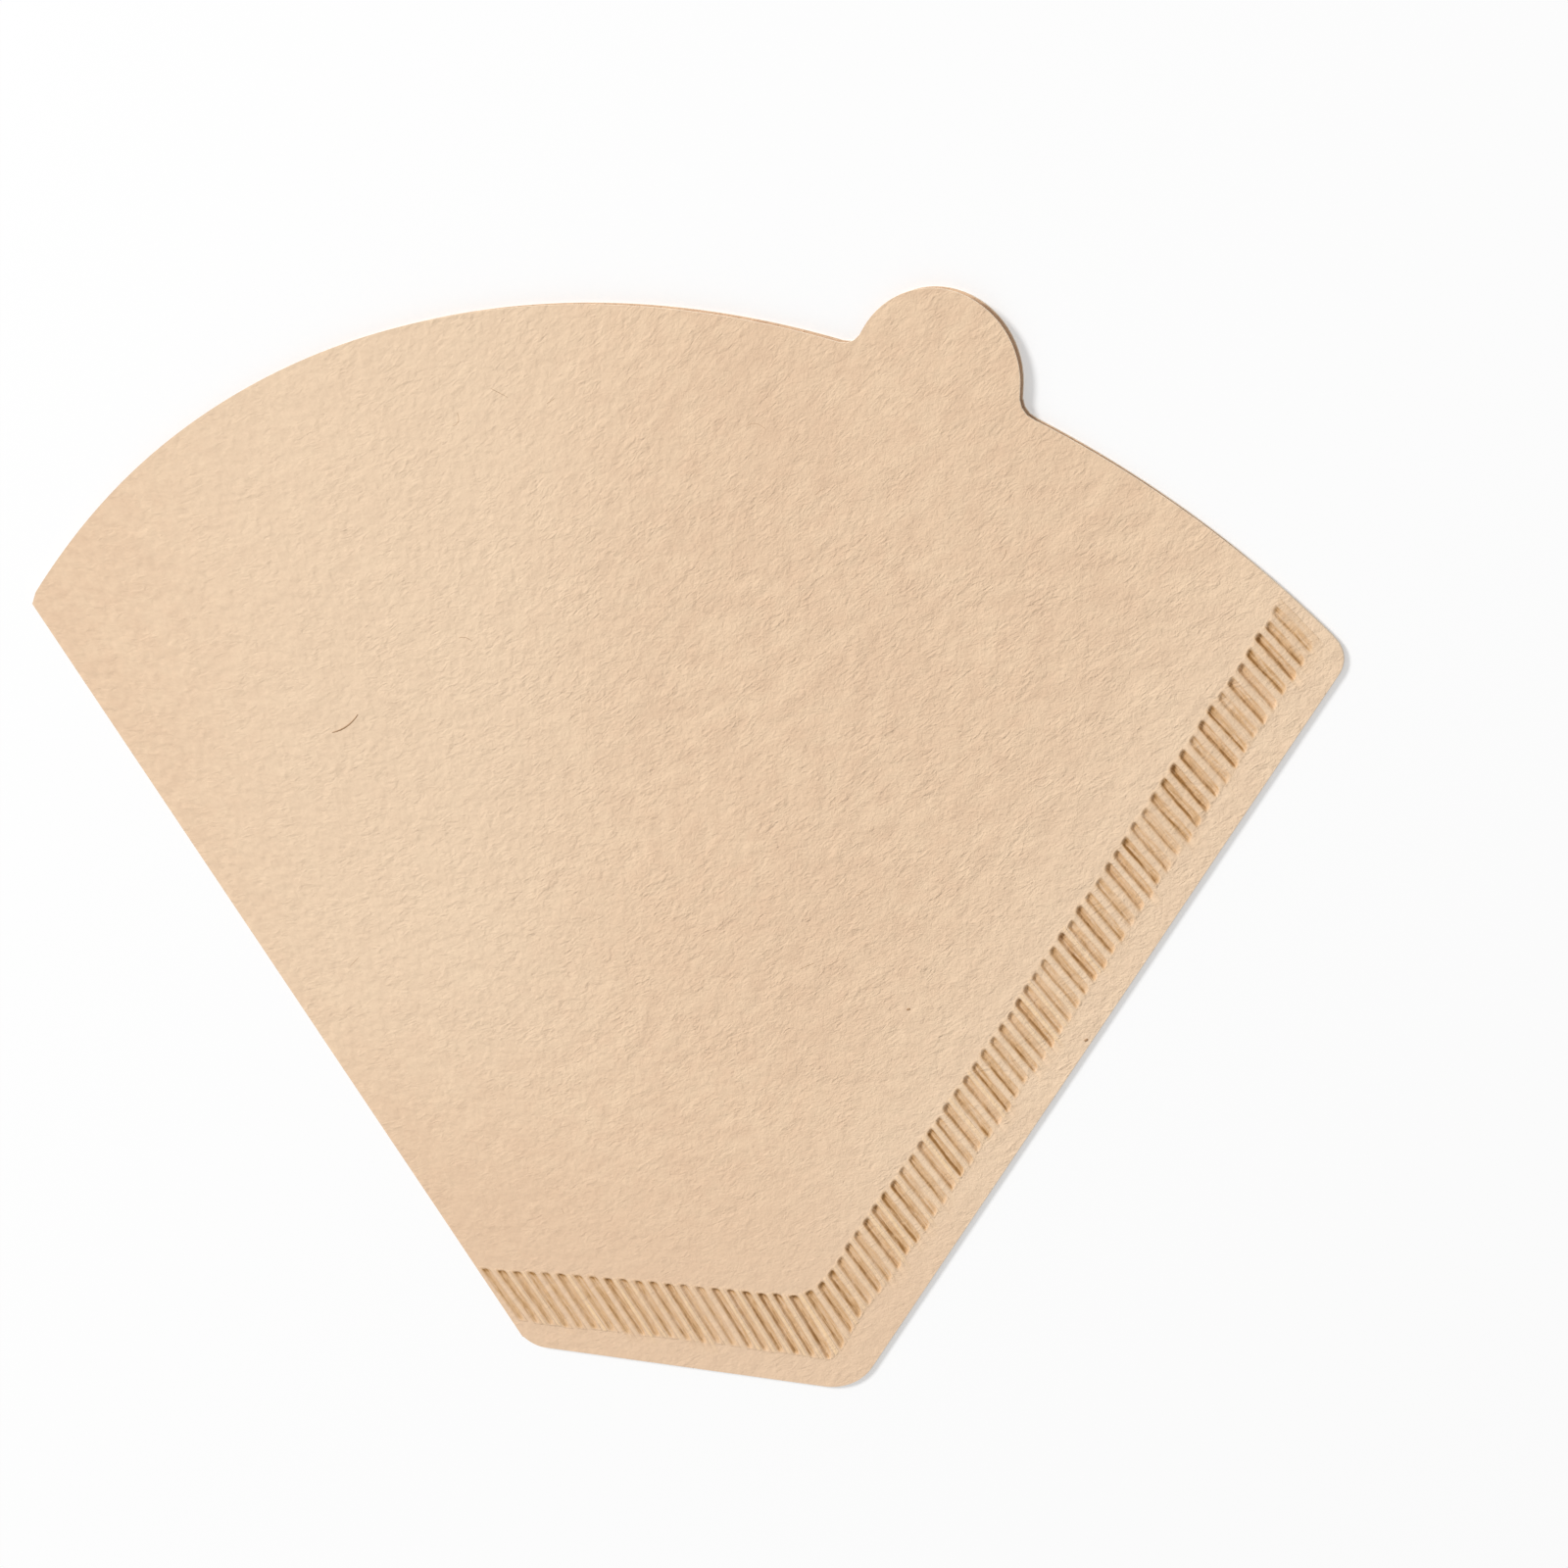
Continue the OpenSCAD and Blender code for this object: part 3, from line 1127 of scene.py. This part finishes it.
@dataclass(frozen=True)
class PaperFinish:
    """Unbleached paper: mottled, lined by its fibres, toasted where it is pressed, and there
    given painted shade and highlight.

    Light paper has rosier mottles, is paler towards the fold and along the side edge, and
    rosier at the bottom. Where it is pressed its colour goes to that of a groove's floor
    at half the mark, and on to that of a groove's edge at the whole mark, in streaks along
    the grooves: the pressed paper's tint with painted shade. A mark below 0 is a ridge
    between two grooves, with an orange tint and a painted highlight.
    """

    name: str
    light: Colour = (0.836, 0.616, 0.424, 1.0)
    rosy: Colour = (0.768, 0.542, 0.370, 1.0)
    pale: Colour = (0.850, 0.655, 0.468, 1.0)
    # Pressed colours: floor and edge are the pressed tint with painted shade, ridge the tint with a
    # painted highlight
    floor: Colour = (0.690, 0.440, 0.238, 1.0)
    edge: Colour = (0.400, 0.205, 0.070, 1.0)
    ridge: Colour = (0.905, 0.635, 0.378, 1.0)
    roughness: float = 0.93
    specular: float = 0.25
    relief: float = 0.225
    grain: PaperGrain = PaperGrain()
    # Colour over the sheet
    mottled: Fade = Fade(0.36, 0.66, 0.0, 0.7)
    warmed: Fade = Fade(0.35, 0.65, 0.0, 0.3)
    slant: float = -0.15
    pale_left: Fade = Fade(-24.0, 12.0, 0.6, 0.0, Ramp.EASED)
    pale_tip: Fade = Fade(-80.0, -40.0, 0.1, 1.0, Ramp.EASED)
    pale_up: Fade = Fade(-50.0, -10.0, 0.0, 1.0, Ramp.EASED)
    side_way: Triple = (-0.8415, 0.5402, 0.0)
    pale_side: Fade = Fade(-50.0, -28.0, 0.5, 0.0, Ramp.EASED)
    rosy_bottom: Fade = Fade(-54.0, -28.0, 0.55, 0.0, Ramp.EASED)
    speckled: Fade = Fade(0.0, 0.5, 0.955, 1.045)
    # Tint with painted shade and highlight, and relief, of the pressed row
    streak: Layer = Layer((0.3, 2.4, 1.0), 3.0, 0.6, 0.4)
    streak_relief: float = 0.6
    streaked: Fade = Fade(0.3, 0.7, 0.35, 1.65)
    to_ridge_tint_and_highlight: Fade = Fade(-0.3, 0.0, 1.0, 0.0)
    to_floor_tint_and_shade: Fade = Fade(0.0, 0.5)
    to_edge_tint_and_shade: Fade = Fade(0.5, 1.0)
    pressed: Fade = Fade(0.02, 0.12)
    ironed: Fade = Fade(0.0, 1.0, 1.0, 0.85)

    def sheet_colour(self, s: Shader, mm: Socket, grain: bpy.types.Node) -> Socket:
        """The paper's colour where it isn't pressed.

        Args:
            s: the material's shader.
            mm: the place on the piece, in millimetres.
            grain: the grain's node.

        Returns:
            The colour.
        """
        _, mottle, warmth, speck_and_streak_shade = grain.outputs
        colour = s.mix(s.fade(mottle, self.mottled), self.light, self.rosy)
        colour = s.mix(s.fade(warmth, self.warmed), colour, self.rosy)
        x, y = s.apart(mm)[:2]
        left = s.fade(s.plus(x, s.times(y, self.slant)), self.pale_left)
        paled = s.times(left, s.times(s.fade(x, self.pale_tip), s.fade(y, self.pale_up)))
        inward = s.add("VectorMath", {0: mm, 1: self.side_way}, operation="DOT_PRODUCT")
        beside = s.fade(inward.outputs["Value"], self.pale_side)
        colour = s.mix(s.math(Maths.MAXIMUM, paled, beside), colour, self.pale)
        colour = s.mix(s.fade(y, self.rosy_bottom), colour, self.rosy)
        # Fine speck tone, with the grain's streaks painted in as light and shade
        shade = s.fade(speck_and_streak_shade, self.speckled)
        shades = s.add("CombineColor", {0: shade, 1: shade, 2: shade}).outputs[0]
        return s.mix(1.0, colour, shades, Blend.MULTIPLY)

    def material(self) -> bpy.types.Material:
        """Build the material.

        Returns:
            The material.
        """
        made = bpy.data.materials.new(self.name)
        s = Shader.of(made)
        mm = s.millimetres()
        grain = s.add("Group", node_tree=self.grain.group())
        made.node_tree.links.new(mm, grain.inputs[0])
        colour = self.sheet_colour(s, mm, grain)

        # The mark: tint with painted shade in the grooves, and below 0 a painted highlight on the
        # ridges
        attribute = s.add("Attribute", attribute_name="pressed")
        mark, along, across = s.apart(attribute.outputs["Vector"])
        streak = s.noise(s.add("CombineXYZ", {0: along, 1: across}).outputs[0], self.streak)
        tint_shade_and_highlight = s.times(mark, s.fade(streak, self.streaked))
        colour = s.mix(s.fade(tint_shade_and_highlight, self.to_ridge_tint_and_highlight), colour, self.ridge)
        colour = s.mix(s.fade(tint_shade_and_highlight, self.to_floor_tint_and_shade), colour, self.floor)
        colour = s.mix(s.fade(tint_shade_and_highlight, self.to_edge_tint_and_shade), colour, self.edge)

        pressed = s.fade(s.math(Maths.ABSOLUTE, mark), self.pressed)
        lines = s.times(s.times(streak, pressed), self.streak_relief)
        plain = s.times(grain.outputs[0], s.fade(pressed, self.ironed))
        bump = s.add("Bump", {"Strength": 1.0, "Distance": self.relief * MM,
                              "Height": s.plus(plain, lines)})
        skin = s.add("BsdfPrincipled", {"Base Color": colour, "Roughness": self.roughness,
                                        "Specular IOR Level": self.specular,
                                        "Normal": bump.outputs[0]})
        s.add("OutputMaterial", {"Surface": skin.outputs[0]})
        return made


@dataclass(frozen=True)
class FibreFinish:
    """Dark stray fibre: brown, a little lighter and darker along its length."""

    name: str = "stray_fibre"
    deep: Colour = (0.30, 0.17, 0.085, 1.0)
    pale: Colour = (0.52, 0.33, 0.19, 1.0)
    roughness: float = 0.8
    tone: Layer = Layer((1.3, 1.3, 1.3))
    toned: Fade = Fade(0.3, 0.7)

    def material(self) -> bpy.types.Material:
        """Build the material.

        Returns:
            The material.
        """
        made = bpy.data.materials.new(self.name)
        s = Shader.of(made)
        tone = s.noise(s.millimetres(), self.tone)
        colour = s.mix(s.fade(tone, self.toned), self.deep, self.pale)
        skin = s.add("BsdfPrincipled", {"Base Color": colour, "Roughness": self.roughness})
        s.add("OutputMaterial", {"Surface": skin.outputs[0]})
        return made


# The pieces


def place(name: str, mesh: bpy.types.Mesh, finishes: list[bpy.types.Material],
          stands_for: str | None = None) -> bpy.types.Object:
    """Put a finished mesh into the scene as a piece of the filter.

    Args:
        name: name of the piece.
        mesh: its mesh, in metres and in the CAD's frame.
        finishes: its materials, in the order of its faces' numbers.
        stands_for: the CAD node that it replaces.

    Returns:
        The piece.
    """
    for material in finishes:
        mesh.materials.append(material)
    piece = bpy.data.objects.new(name, mesh)
    bpy.context.scene.collection.objects.link(piece)
    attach(piece, "root")
    if stands_for:
        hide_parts(stands_for)
    return piece


@dataclass
class FoldedSheet:
    """The filter itself: two walls, the fold between them and the crimped seam."""

    outline: Outline = field(default_factory=Outline)
    row: CrimpRow = field(default_factory=lambda: CrimpRow(Outline()))
    groove: Groove = field(default_factory=Groove)
    spacing: Spacing = field(default_factory=Spacing)
    walls: PaperFinish = PaperFinish("kraft_paper_face")
    # The cut edges' finish is paler: partly the cut fibres' colour, partly a painted highlight on
    # rims that face away from the lamp
    cut: PaperFinish = PaperFinish("kraft_paper_cut_with_painted_highlight", light=(0.97, 0.82, 0.65, 1.0),
                                   rosy=(0.92, 0.76, 0.59, 1.0), relief=0.03)
    paper: float = 0.18
    top: float = 0.51
    seam_foot: float = 0.15
    foot_run: float = 7.0
    crown_r: float = 3200.0
    crown_rise: float = 1.2
    crown_start: float = 26.0
    crown_x: float = -5.5
    crown_soft: float = 0.17
    free_run: float = 9.0
    wave: float = 0.05
    wave_full: float = 0.5
    waves: tuple[tuple[float, float, float, float], ...] = (
        (9.1, 14.3, 0.6, 1.0), (17.0, -8.3, 2.1, 0.8), (5.9, -11.7, 4.0, 0.6))
    inner_rows: int = 26
    edge_bow: float = 0.03
    edge_notch: float = 0.05
    notch_fade: float = 4.0

    def crown(self, xy: Array) -> Array:
        """Height that the front wall gains over the flat.

        A parabola across the filter on a line that rises towards the mouth. Where it
        would be below the flat it fades out softly: half the sum of the height and the
        root of its square plus the softness squared. A few long waves are added where
        the walls are free of each other: sines of x and y by their lengths plus a phase.

        Args:
            xy: points of the flat outline.

        Returns:
            The heights.
        """
        x, y = xy[..., 0], xy[..., 1]
        o = self.outline
        rise = self.crown_rise * (y - self.crown_start) / (o.mouth_y + o.mouth_r - self.crown_start)
        arch = rise - (x - self.crown_x) ** 2 / (2 * self.crown_r)
        soft = (arch + np.sqrt(arch ** 2 + self.crown_soft ** 2)) / 2
        waves = sum(share * np.sin(x / a + y / b + phase) for a, b, phase, share in self.waves)
        free = 1 - np.exp(-(self.row.depth_in(xy) / self.free_run) ** 2)
        return free * (soft + waves * self.wave * np.clip(soft / self.wave_full, 0, 1))

    def front(self, xy: Array) -> Array:
        """Height of the front wall's face."""
        return self.top + self.crown(xy)

    def back(self, xy: Array) -> Array:
        """Height of the back wall's face, which rises a little to the seam."""
        return self.seam_foot * (1 - ease(self.row.depth_in(xy) / self.foot_run))

    def fold_field(self, rib: Array) -> Array:
        """Fill the seam's end by the fold, from the bend of the fold to the first rib.

        Args:
            rib: points of the first rib.

        Returns:
            Points, columns by rows by 2.
        """
        o, count = self.outline, self.spacing.fold_end + 1
        inner_edge = Line(rib[0], o.bottom.way).meets(o.bend_line)
        foot = o.foot()
        fold_rib = inner_edge + fractions(rib)[:, None] * (foot[0] - inner_edge)
        near_foot = np.concatenate([foot[foot[:, 0] < rib[-1, 0] - BESIDE], rib[-1:]])
        low = np.linspace(inner_edge, rib[0], count)
        return stretch(fold_rib, rib, low, spread(near_foot, count))

    def mouth_field(self, rib: Array) -> Array:
        """Fill the seam's end by the mouth, from the last rib to the mouth edge.

        Half of the round corner bounds the field's end, and the other half its outside.

        Args:
            rib: points of the last rib.

        Returns:
            Points, columns by rows by 2.
        """
        o, count = self.outline, self.spacing.mouth_end + 1
        inner_edge = Line(rib[0], o.side.way).leaves(o.rim)
        angle, tip = o.rim.heading(o.seam_top.centre), o.seam_top.heading(rib[-1])
        half_turn = (tip + angle) / 2
        edge = np.concatenate([o.rim.arc(o.rim.heading(inner_edge), angle),
                               o.seam_top.arc(angle, half_turn, FINE)[1:]])
        share, run = fractions(rib), fractions(edge)
        mouth_rib = np.stack([np.interp(share, run, edge[:, k]) for k in (0, 1)], -1)
        low = np.linspace(rib[0], inner_edge, count)
        return stretch(rib, mouth_rib, low, spread(o.seam_top.arc(tip, half_turn, FINE), count))

    def seam_field(self) -> tuple[Array, Array, Array, Array, Array]:
        """The seam as one field of columns and rows.

        The grooves of the back lie half a pitch further on than those of the front.

        Returns:
            Flat points, columns by rows by 2; height of the front face; height of the
            back face; and the marks of each face: pressed tint with painted shade and highlight.
        """
        r, phases = self.row, self.spacing.phases
        number = np.append(np.repeat(np.arange(r.count), len(phases)), r.count - 1)
        phase = np.append(np.tile(phases, r.count), self.spacing.last_phase)
        s = r.place(number + phase)
        mid, head, tail = r.ribs(s).points(self.spacing)
        deep, dark = self.groove.press(r.count, number, phase, head, tail)
        before = np.where(phase < 0, number - 1, number).clip(0)
        turned = (phase + 1.0) % 1.0 - 0.5
        behind, shade = self.groove.press(r.count, before, turned, head, tail)
        half = len(phases) // 2
        behind[:half] = behind[-half:] = shade[:half] = shade[-half:] = 0

        start, end = self.fold_field(mid[0]), self.mouth_field(mid[-1])
        flat = np.concatenate([start[:-1], mid, end[1:]])
        pad = ((len(start) - 1, len(end) - 1), (0, 0))
        deep, dark, behind, shade = (np.pad(a, pad) for a in (deep, dark, behind, shade))
        along = np.pad(s, pad[0], mode="edge")[:, None] + 0 * dark
        across = np.pad(head, pad, mode="edge")
        front = self.top - r.depth * deep
        back = np.maximum(self.seam_foot - r.back_lift * deep + r.back_press * behind, 0)
        return (flat, front, back, np.stack([dark, along, across], -1),
                np.stack([shade, along, across], -1))

    def solid(self, xy: Array, z: Array) -> Array:
        """Points of the flat outline and their heights, in the CAD's frame."""
        return np.concatenate([xy + self.outline.shift, z[..., None]], -1)

    def bend(self, a: Array, b: Array, reach: float) -> Array:
        """The fold's round between two lines: half an ellipse, as five lines of points.

        Args:
            a: points of the upper line.
            b: points of the lower line.
            reach: how far the round stands out of the fold.

        Returns:
            Points, five lines of them.
        """
        out_of_fold = -left_of(self.outline.fold.way)
        lines = [a]
        for turn in np.linspace(0, math.pi, 5)[1:-1]:
            line = (a + b) / 2
            line[:, :2] += out_of_fold * reach * math.sin(turn)
            line[:, 2] += (a[:, 2] - b[:, 2]) / 2 * math.cos(turn)
            lines.append(line)
        return np.stack([*lines, b])

    def build(self) -> bpy.types.Mesh:
        """Make the whole sheet as one closed mesh.

        Returns:
            The mesh.
        """
        o, g = self.outline, self.spacing
        work = Patchwork()
        flat, front, back, dark, behind = self.seam_field()
        low = flat[: g.split + 1 : g.bottom_step, 0]
        side = flat[g.split :: g.side_step, 0]
        mouth = spread(o.mouth(side[-1]), len(low), Bell(o.tab.centre))[::-1]
        wall = stretch(np.linspace(low[0], mouth[0], len(side)), side, low, mouth)

        # Outer faces of the two walls, of the seam and of the fold between them
        z_front, z_back = self.front(wall), self.back(wall)
        z_front[:, 0] = z_front[-1] = self.top
        z_back[:, 0] = z_back[-1] = self.seam_foot
        tops, unders = self.solid(wall, z_front), self.solid(wall, z_back)
        seam_top, seam_under = self.solid(flat, front), self.solid(flat, back)
        self.face(work, work.add(tops), work.add(seam_top, dark), upward=True)
        self.face(work, work.add(unders), work.add(seam_under, behind), upward=False)
        fold_wall = self.bend(tops[0], unders[0], o.bend)
        fold_seam = self.bend(seam_top[0], seam_under[0], o.bend)
        work.quads(work.add(fold_wall)[::-1])
        work.quads(work.add(fold_seam))

        # Inner faces, from seam to seam round the inside of the fold
        keep = np.unique(np.linspace(0, len(side) - 1, self.inner_rows).round().astype(int))
        inside_top, inside_under = tops[:, keep].copy(), unders[:, keep].copy()
        inside_top[..., 2] -= self.paper
        inside_under[..., 2] += self.paper
        inside_bend = self.bend(inside_top[0], inside_under[0], o.bend - self.paper)
        work.quads(work.add(inside_top)[::-1])
        work.quads(work.add(inside_under))
        work.quads(work.add(inside_bend))

        # Cut edges: the mouth's rim, and the seam's edge with its fine line between walls
        rim = self.facing(tops[::-1, -1, :2])
        facing = np.concatenate([rim, np.zeros((3, 2)), rim[::-1]])
        outer = np.concatenate([tops[::-1, -1], fold_wall[1:-1, -1], unders[:, -1]])
        inner = np.concatenate([inside_top[::-1, -1], inside_bend[1:-1, -1], inside_under[:, -1]])
        middle = (outer + inner) / 2
        middle[:, :2] += self.edge_bow * facing
        work.quads(work.add(np.stack([outer, middle, inner])), Skin.CUT)
        edge_top = np.concatenate([seam_top[:, -1], seam_top[-1, -2::-1]])
        edge_under = np.concatenate([seam_under[:, -1], seam_under[-1, -2::-1]])
        facing = self.facing(edge_top[:, :2])
        facing[-1] = rim[0]
        shares = np.linspace(0, 1, 5)[:, None, None]
        profile = (1 - shares) * edge_top + shares * edge_under
        profile[[1, 3], :, :2] += self.edge_bow * facing
        fade = np.minimum(np.arange(len(facing))[::-1] / self.notch_fade, 1)[:, None]
        profile[2, :, :2] -= self.edge_notch * fade * facing
        profile[:, 0] = fold_seam[:, -1]
        work.quads(work.add(profile), Skin.CUT)
        LOG.info("sheet: seam %d by %d points, walls %d by %d", *flat.shape[:2], *wall.shape[:2])
        return work.mesh("folded_sheet")

    def face(self, work: Patchwork, wall: Array, seam: Array, upward: bool) -> None:
        """Fill one face of the sheet: the wall, the seam and the join between them.

        Args:
            work: takes the faces.
            wall: numbers of the wall's points, across by up.
            seam: numbers of the seam's points, along by across.
            upward: whether the face looks up.
        """
        g, count, edge = self.spacing, len(work.faces), seam[:, 0]
        low, side, split = g.bottom_step, g.side_step, g.split
        work.quads(seam[:, ::-1])
        work.quads(wall[:-1, 1:])
        work.fan(edge[: split - low + 1], wall[:-1, 1], low)
        work.fan(edge[split + side :], wall[-2, 1:], side)
        around = edge[split - low : split + side + 1]
        work.keep(np.stack([around[:-1], around[1:], np.full(low + side, wall[-2, 1])], -1))
        if not upward:
            work.faces[count:] = [table[:, ::-1] for table in work.faces[count:]]

    @staticmethod
    def facing(line: Array) -> Array:
        """Unit vectors to the right of a line of points, which is away from the paper.

        Args:
            line: the points.

        Returns:
            A vector for each.
        """
        along = np.gradient(line, axis=0)
        along /= np.maximum(np.linalg.norm(along, axis=1), TINY)[:, None]
        return -left_of(along)

    def dress(self) -> bpy.types.Object:
        """Build the sheet with its finishes, in place of the CAD's."""
        finishes = [self.walls.material(), self.cut.material()]
        return place("folded_sheet", self.build(), finishes, "filter_paper")


@dataclass(frozen=True)
class Fibre:
    """One stray fibre: where it starts and ends, how far it bows to its right, its radius."""

    start: tuple[float, float]
    end: tuple[float, float]
    bow: float
    radius: float


@dataclass
class StrayFibres:
    """The few dark fibres and specks that lie in the front wall's face.

    The strewn ones lie in a field, clear of the fold, the seam and the mouth. Their slope
    and their bow, a share of their length, are drawn from a bell about the middle value.
    """

    sheet: FoldedSheet
    finish: FibreFinish = FibreFinish()
    marked: tuple[Fibre, ...] = (
        Fibre((-39.57, 81.12), (-35.20, 83.73), 0.42, 0.085),
        Fibre((55.62, 51.20), (56.02, 51.50), 0.0, 0.13),
        Fibre((34.68, 52.54), (35.08, 52.74), 0.0, 0.12),
    )
    count: int = 14
    field_low: tuple[float, float] = (-80.0, 14.0)
    field_high: tuple[float, float] = (80.0, 126.0)
    mouth_within: float = 116.0
    fold_clear: float = 5.0
    seam_clear: float = 4.0
    lengths: tuple[float, float] = (0.7, 2.6)
    slope: tuple[float, float] = (40.0, 38.0)
    bowed: tuple[float, float] = (0.0, 0.12)
    radii: tuple[float, float] = (0.014, 0.028)
    sides: int = 6
    rings: int = 13
    lift: float = 0.15
    flat: float = 0.6
    seed: int = 5

    def fibres(self) -> list[Fibre]:
        """The marked fibres, and others strewn over the wall with a fixed seed.

        Returns:
            The fibres.
        """
        rng = np.random.default_rng(self.seed)
        found = list(self.marked)
        o = self.sheet.outline
        while len(found) < self.count:
            p = rng.uniform(self.field_low, self.field_high)
            away, inside = np.linalg.norm(p - o.rim.centre), o.bend_line.depth(p)
            length, angle = rng.uniform(*self.lengths), rng.normal(*self.slope)
            bow, radius = rng.normal(*self.bowed) * length, rng.uniform(*self.radii)
            clear = self.sheet.row.depth_in(p[None])[0] > self.seam_clear
            if away < self.mouth_within and inside > self.fold_clear and clear:
                q = p + length * unit(angle)
                found.append(Fibre(tuple(p), tuple(q), bow, radius))
        return found

    def build(self) -> bpy.types.Mesh:
        """Make all the fibres as one mesh.

        Along each fibre t runs from 0 to 1. Its middle line is the straight way plus the
        bow times 4 t (1 - t) to the right, its radius is the given one times the fourth
        root of 4 t (1 - t), which closes both ends, and it lies half sunk in the paper.

        Returns:
            The mesh.
        """
        work = Patchwork()
        t = (1 - np.cos(np.linspace(0, math.pi, self.rings))) / 2
        hump = 4 * t * (1 - t)
        turn = np.linspace(0, 2 * math.pi, self.sides + 1)
        for fibre in self.fibres():
            a, b = np.array(fibre.start), np.array(fibre.end)
            side = -left_of((b - a) / np.linalg.norm(b - a))
            line = a + t[:, None] * (b - a) + fibre.bow * hump[:, None] * side
            along = np.gradient(line, axis=0)
            across = left_of(along / np.linalg.norm(along, axis=1)[:, None])
            r = (fibre.radius * np.maximum(hump, 0) ** 0.25)[:, None]
            xy = line[:, None] + (r * np.cos(turn))[..., None] * across[:, None]
            z = self.sheet.front(line)[:, None] + self.lift * fibre.radius
            z = z + self.flat * r * np.sin(turn)
            xy[:, -1], z[:, -1] = xy[:, 0], z[:, 0]
            work.quads(work.add(self.sheet.solid(xy, z))[:, ::-1])
        return work.mesh("stray_fibres", sharp=180.0)

    def dress(self) -> bpy.types.Object:
        """Build the fibres with their finish."""
        return place("stray_fibres", self.build(), [self.finish.material()])


# Floor, light and camera


@dataclass(frozen=True)
class Studio:
    """A white floor, a broad soft lamp on the left, an even sky and the camera."""

    white: Colour = (1.0, 1.0, 1.0, 1.0)
    floor_m: float = 8.0
    floor_z_m: float = -2e-5
    floor_white: Colour = (0.98, 0.98, 0.98, 1.0)
    floor_glow: Fade = Fade(0.25, 1.1, 0.35, 1.0, Ramp.EASED)
    sky: Fade = Fade(0.0, 1.0, 0.5, 1.0)
    lamp_way: Triple = (-0.63, 0.48, 0.62)
    lamp_far_m: float = 4.5
    lamp_size_m: float = 1.4
    lamp_level: float = 0.5
    focal_px: float = 2462.671
    image_px: float = 1600.0
    sensor_mm: float = 36.0
    clip_m: tuple[float, float] = (0.01, 50.0)
    eye: Triple = (139.319, 160.377, 228.830)
    sight: Triple = (-0.436728806, -0.303882905, -0.846713134)
    up: Triple = (-0.063799205, 0.949310437, -0.307797591)

    def floor(self) -> None:
        """A flat white floor that keeps the object's shadow, and glows white far from it."""
        h, z = self.floor_m / 2, self.floor_z_m
        mesh = bpy.data.meshes.new("floor")
        mesh.from_pydata([(-h, -h, z), (h, -h, z), (h, h, z), (-h, h, z)], [], [(0, 1, 2, 3)])
        made = bpy.data.materials.new("floor_white")
        s = Shader.of(made)
        plain = s.add("BsdfDiffuse", {"Color": self.floor_white})
        glow = s.add("Emission", {"Color": self.white, "Strength": 1.0})
        place = s.add("TexCoord").outputs["Object"]
        far = s.add("VectorMath", {0: place}, operation="LENGTH").outputs["Value"]
        share = s.times(s.seen(), s.fade(far, self.floor_glow))
        mixed = s.add("MixShader", {0: share, 1: plain.outputs[0], 2: glow.outputs[0]})
        s.add("OutputMaterial", {"Surface": mixed.outputs[0]})
        mesh.materials.append(made)
        floor = bpy.data.objects.new("floor", mesh)
        bpy.context.scene.collection.objects.link(floor)

    def lights(self) -> None:
        """The sky, which is white to the eye, and one broad lamp.

        The lamp's power is its level times pi squared times its distance squared, divided
        by the upright part of its way, so that a level floor is lit at that level.
        """
        world = bpy.data.worlds.new("studio")
        s = Shader.of(world)
        strength = s.fade(s.seen(), self.sky)
        back = s.add("Background", {"Color": self.white, "Strength": strength})
        s.add("OutputWorld", {"Surface": back.outputs[0]})
        bpy.context.scene.world = world
        way = Vector(self.lamp_way).normalized()
        lamp = bpy.data.lights.new("lamp", "AREA")
        lamp.shape = "DISK"
        lamp.size = self.lamp_size_m
        lamp.energy = self.lamp_level * math.pi ** 2 * self.lamp_far_m ** 2 / way.z
        held = bpy.data.objects.new("lamp", lamp)
        held.location = way * self.lamp_far_m
        held.rotation_euler = way.to_track_quat("Z", "Y").to_euler()
        bpy.context.scene.collection.objects.link(held)

    def camera(self, shift: Array) -> None:
        """The photograph's view, found from the outline's perspective.

        Args:
            shift: the way from the outline's zero to the CAD's origin.
        """
        lens = bpy.data.cameras.new("camera")
        lens.sensor_width = self.sensor_mm
        lens.lens = self.focal_px / self.image_px * lens.sensor_width
        lens.clip_start, lens.clip_end = self.clip_m
        back, up = -Vector(self.sight), Vector(self.up)
        turn = Matrix((up.cross(back), up, back)).transposed()
        place = Vector(self.eye) + Vector((shift[0], shift[1], 0.0))
        eye = bpy.data.objects.new("camera", lens)
        eye.matrix_world = Matrix.Translation(place * MM) @ turn.to_4x4()
        bpy.context.scene.collection.objects.link(eye)
        bpy.context.scene.camera = eye


def main() -> None:
    """Build the filter, its fibres and the studio."""
    logging.basicConfig(level=logging.INFO, format="%(name)s: %(message)s")
    sheet = FoldedSheet()
    for piece in (sheet.dress(), StrayFibres(sheet).dress()):
        piece.data.calc_loop_triangles()
        LOG.info("%s: %d points, %d triangles", piece.name, len(piece.data.vertices),
                 len(piece.data.loop_triangles))
    studio = Studio()
    studio.floor()
    studio.lights()
    studio.camera(sheet.outline.shift)
    bpy.context.scene.view_settings.view_transform = "Standard"


if __name__ == "__main__":
    main()
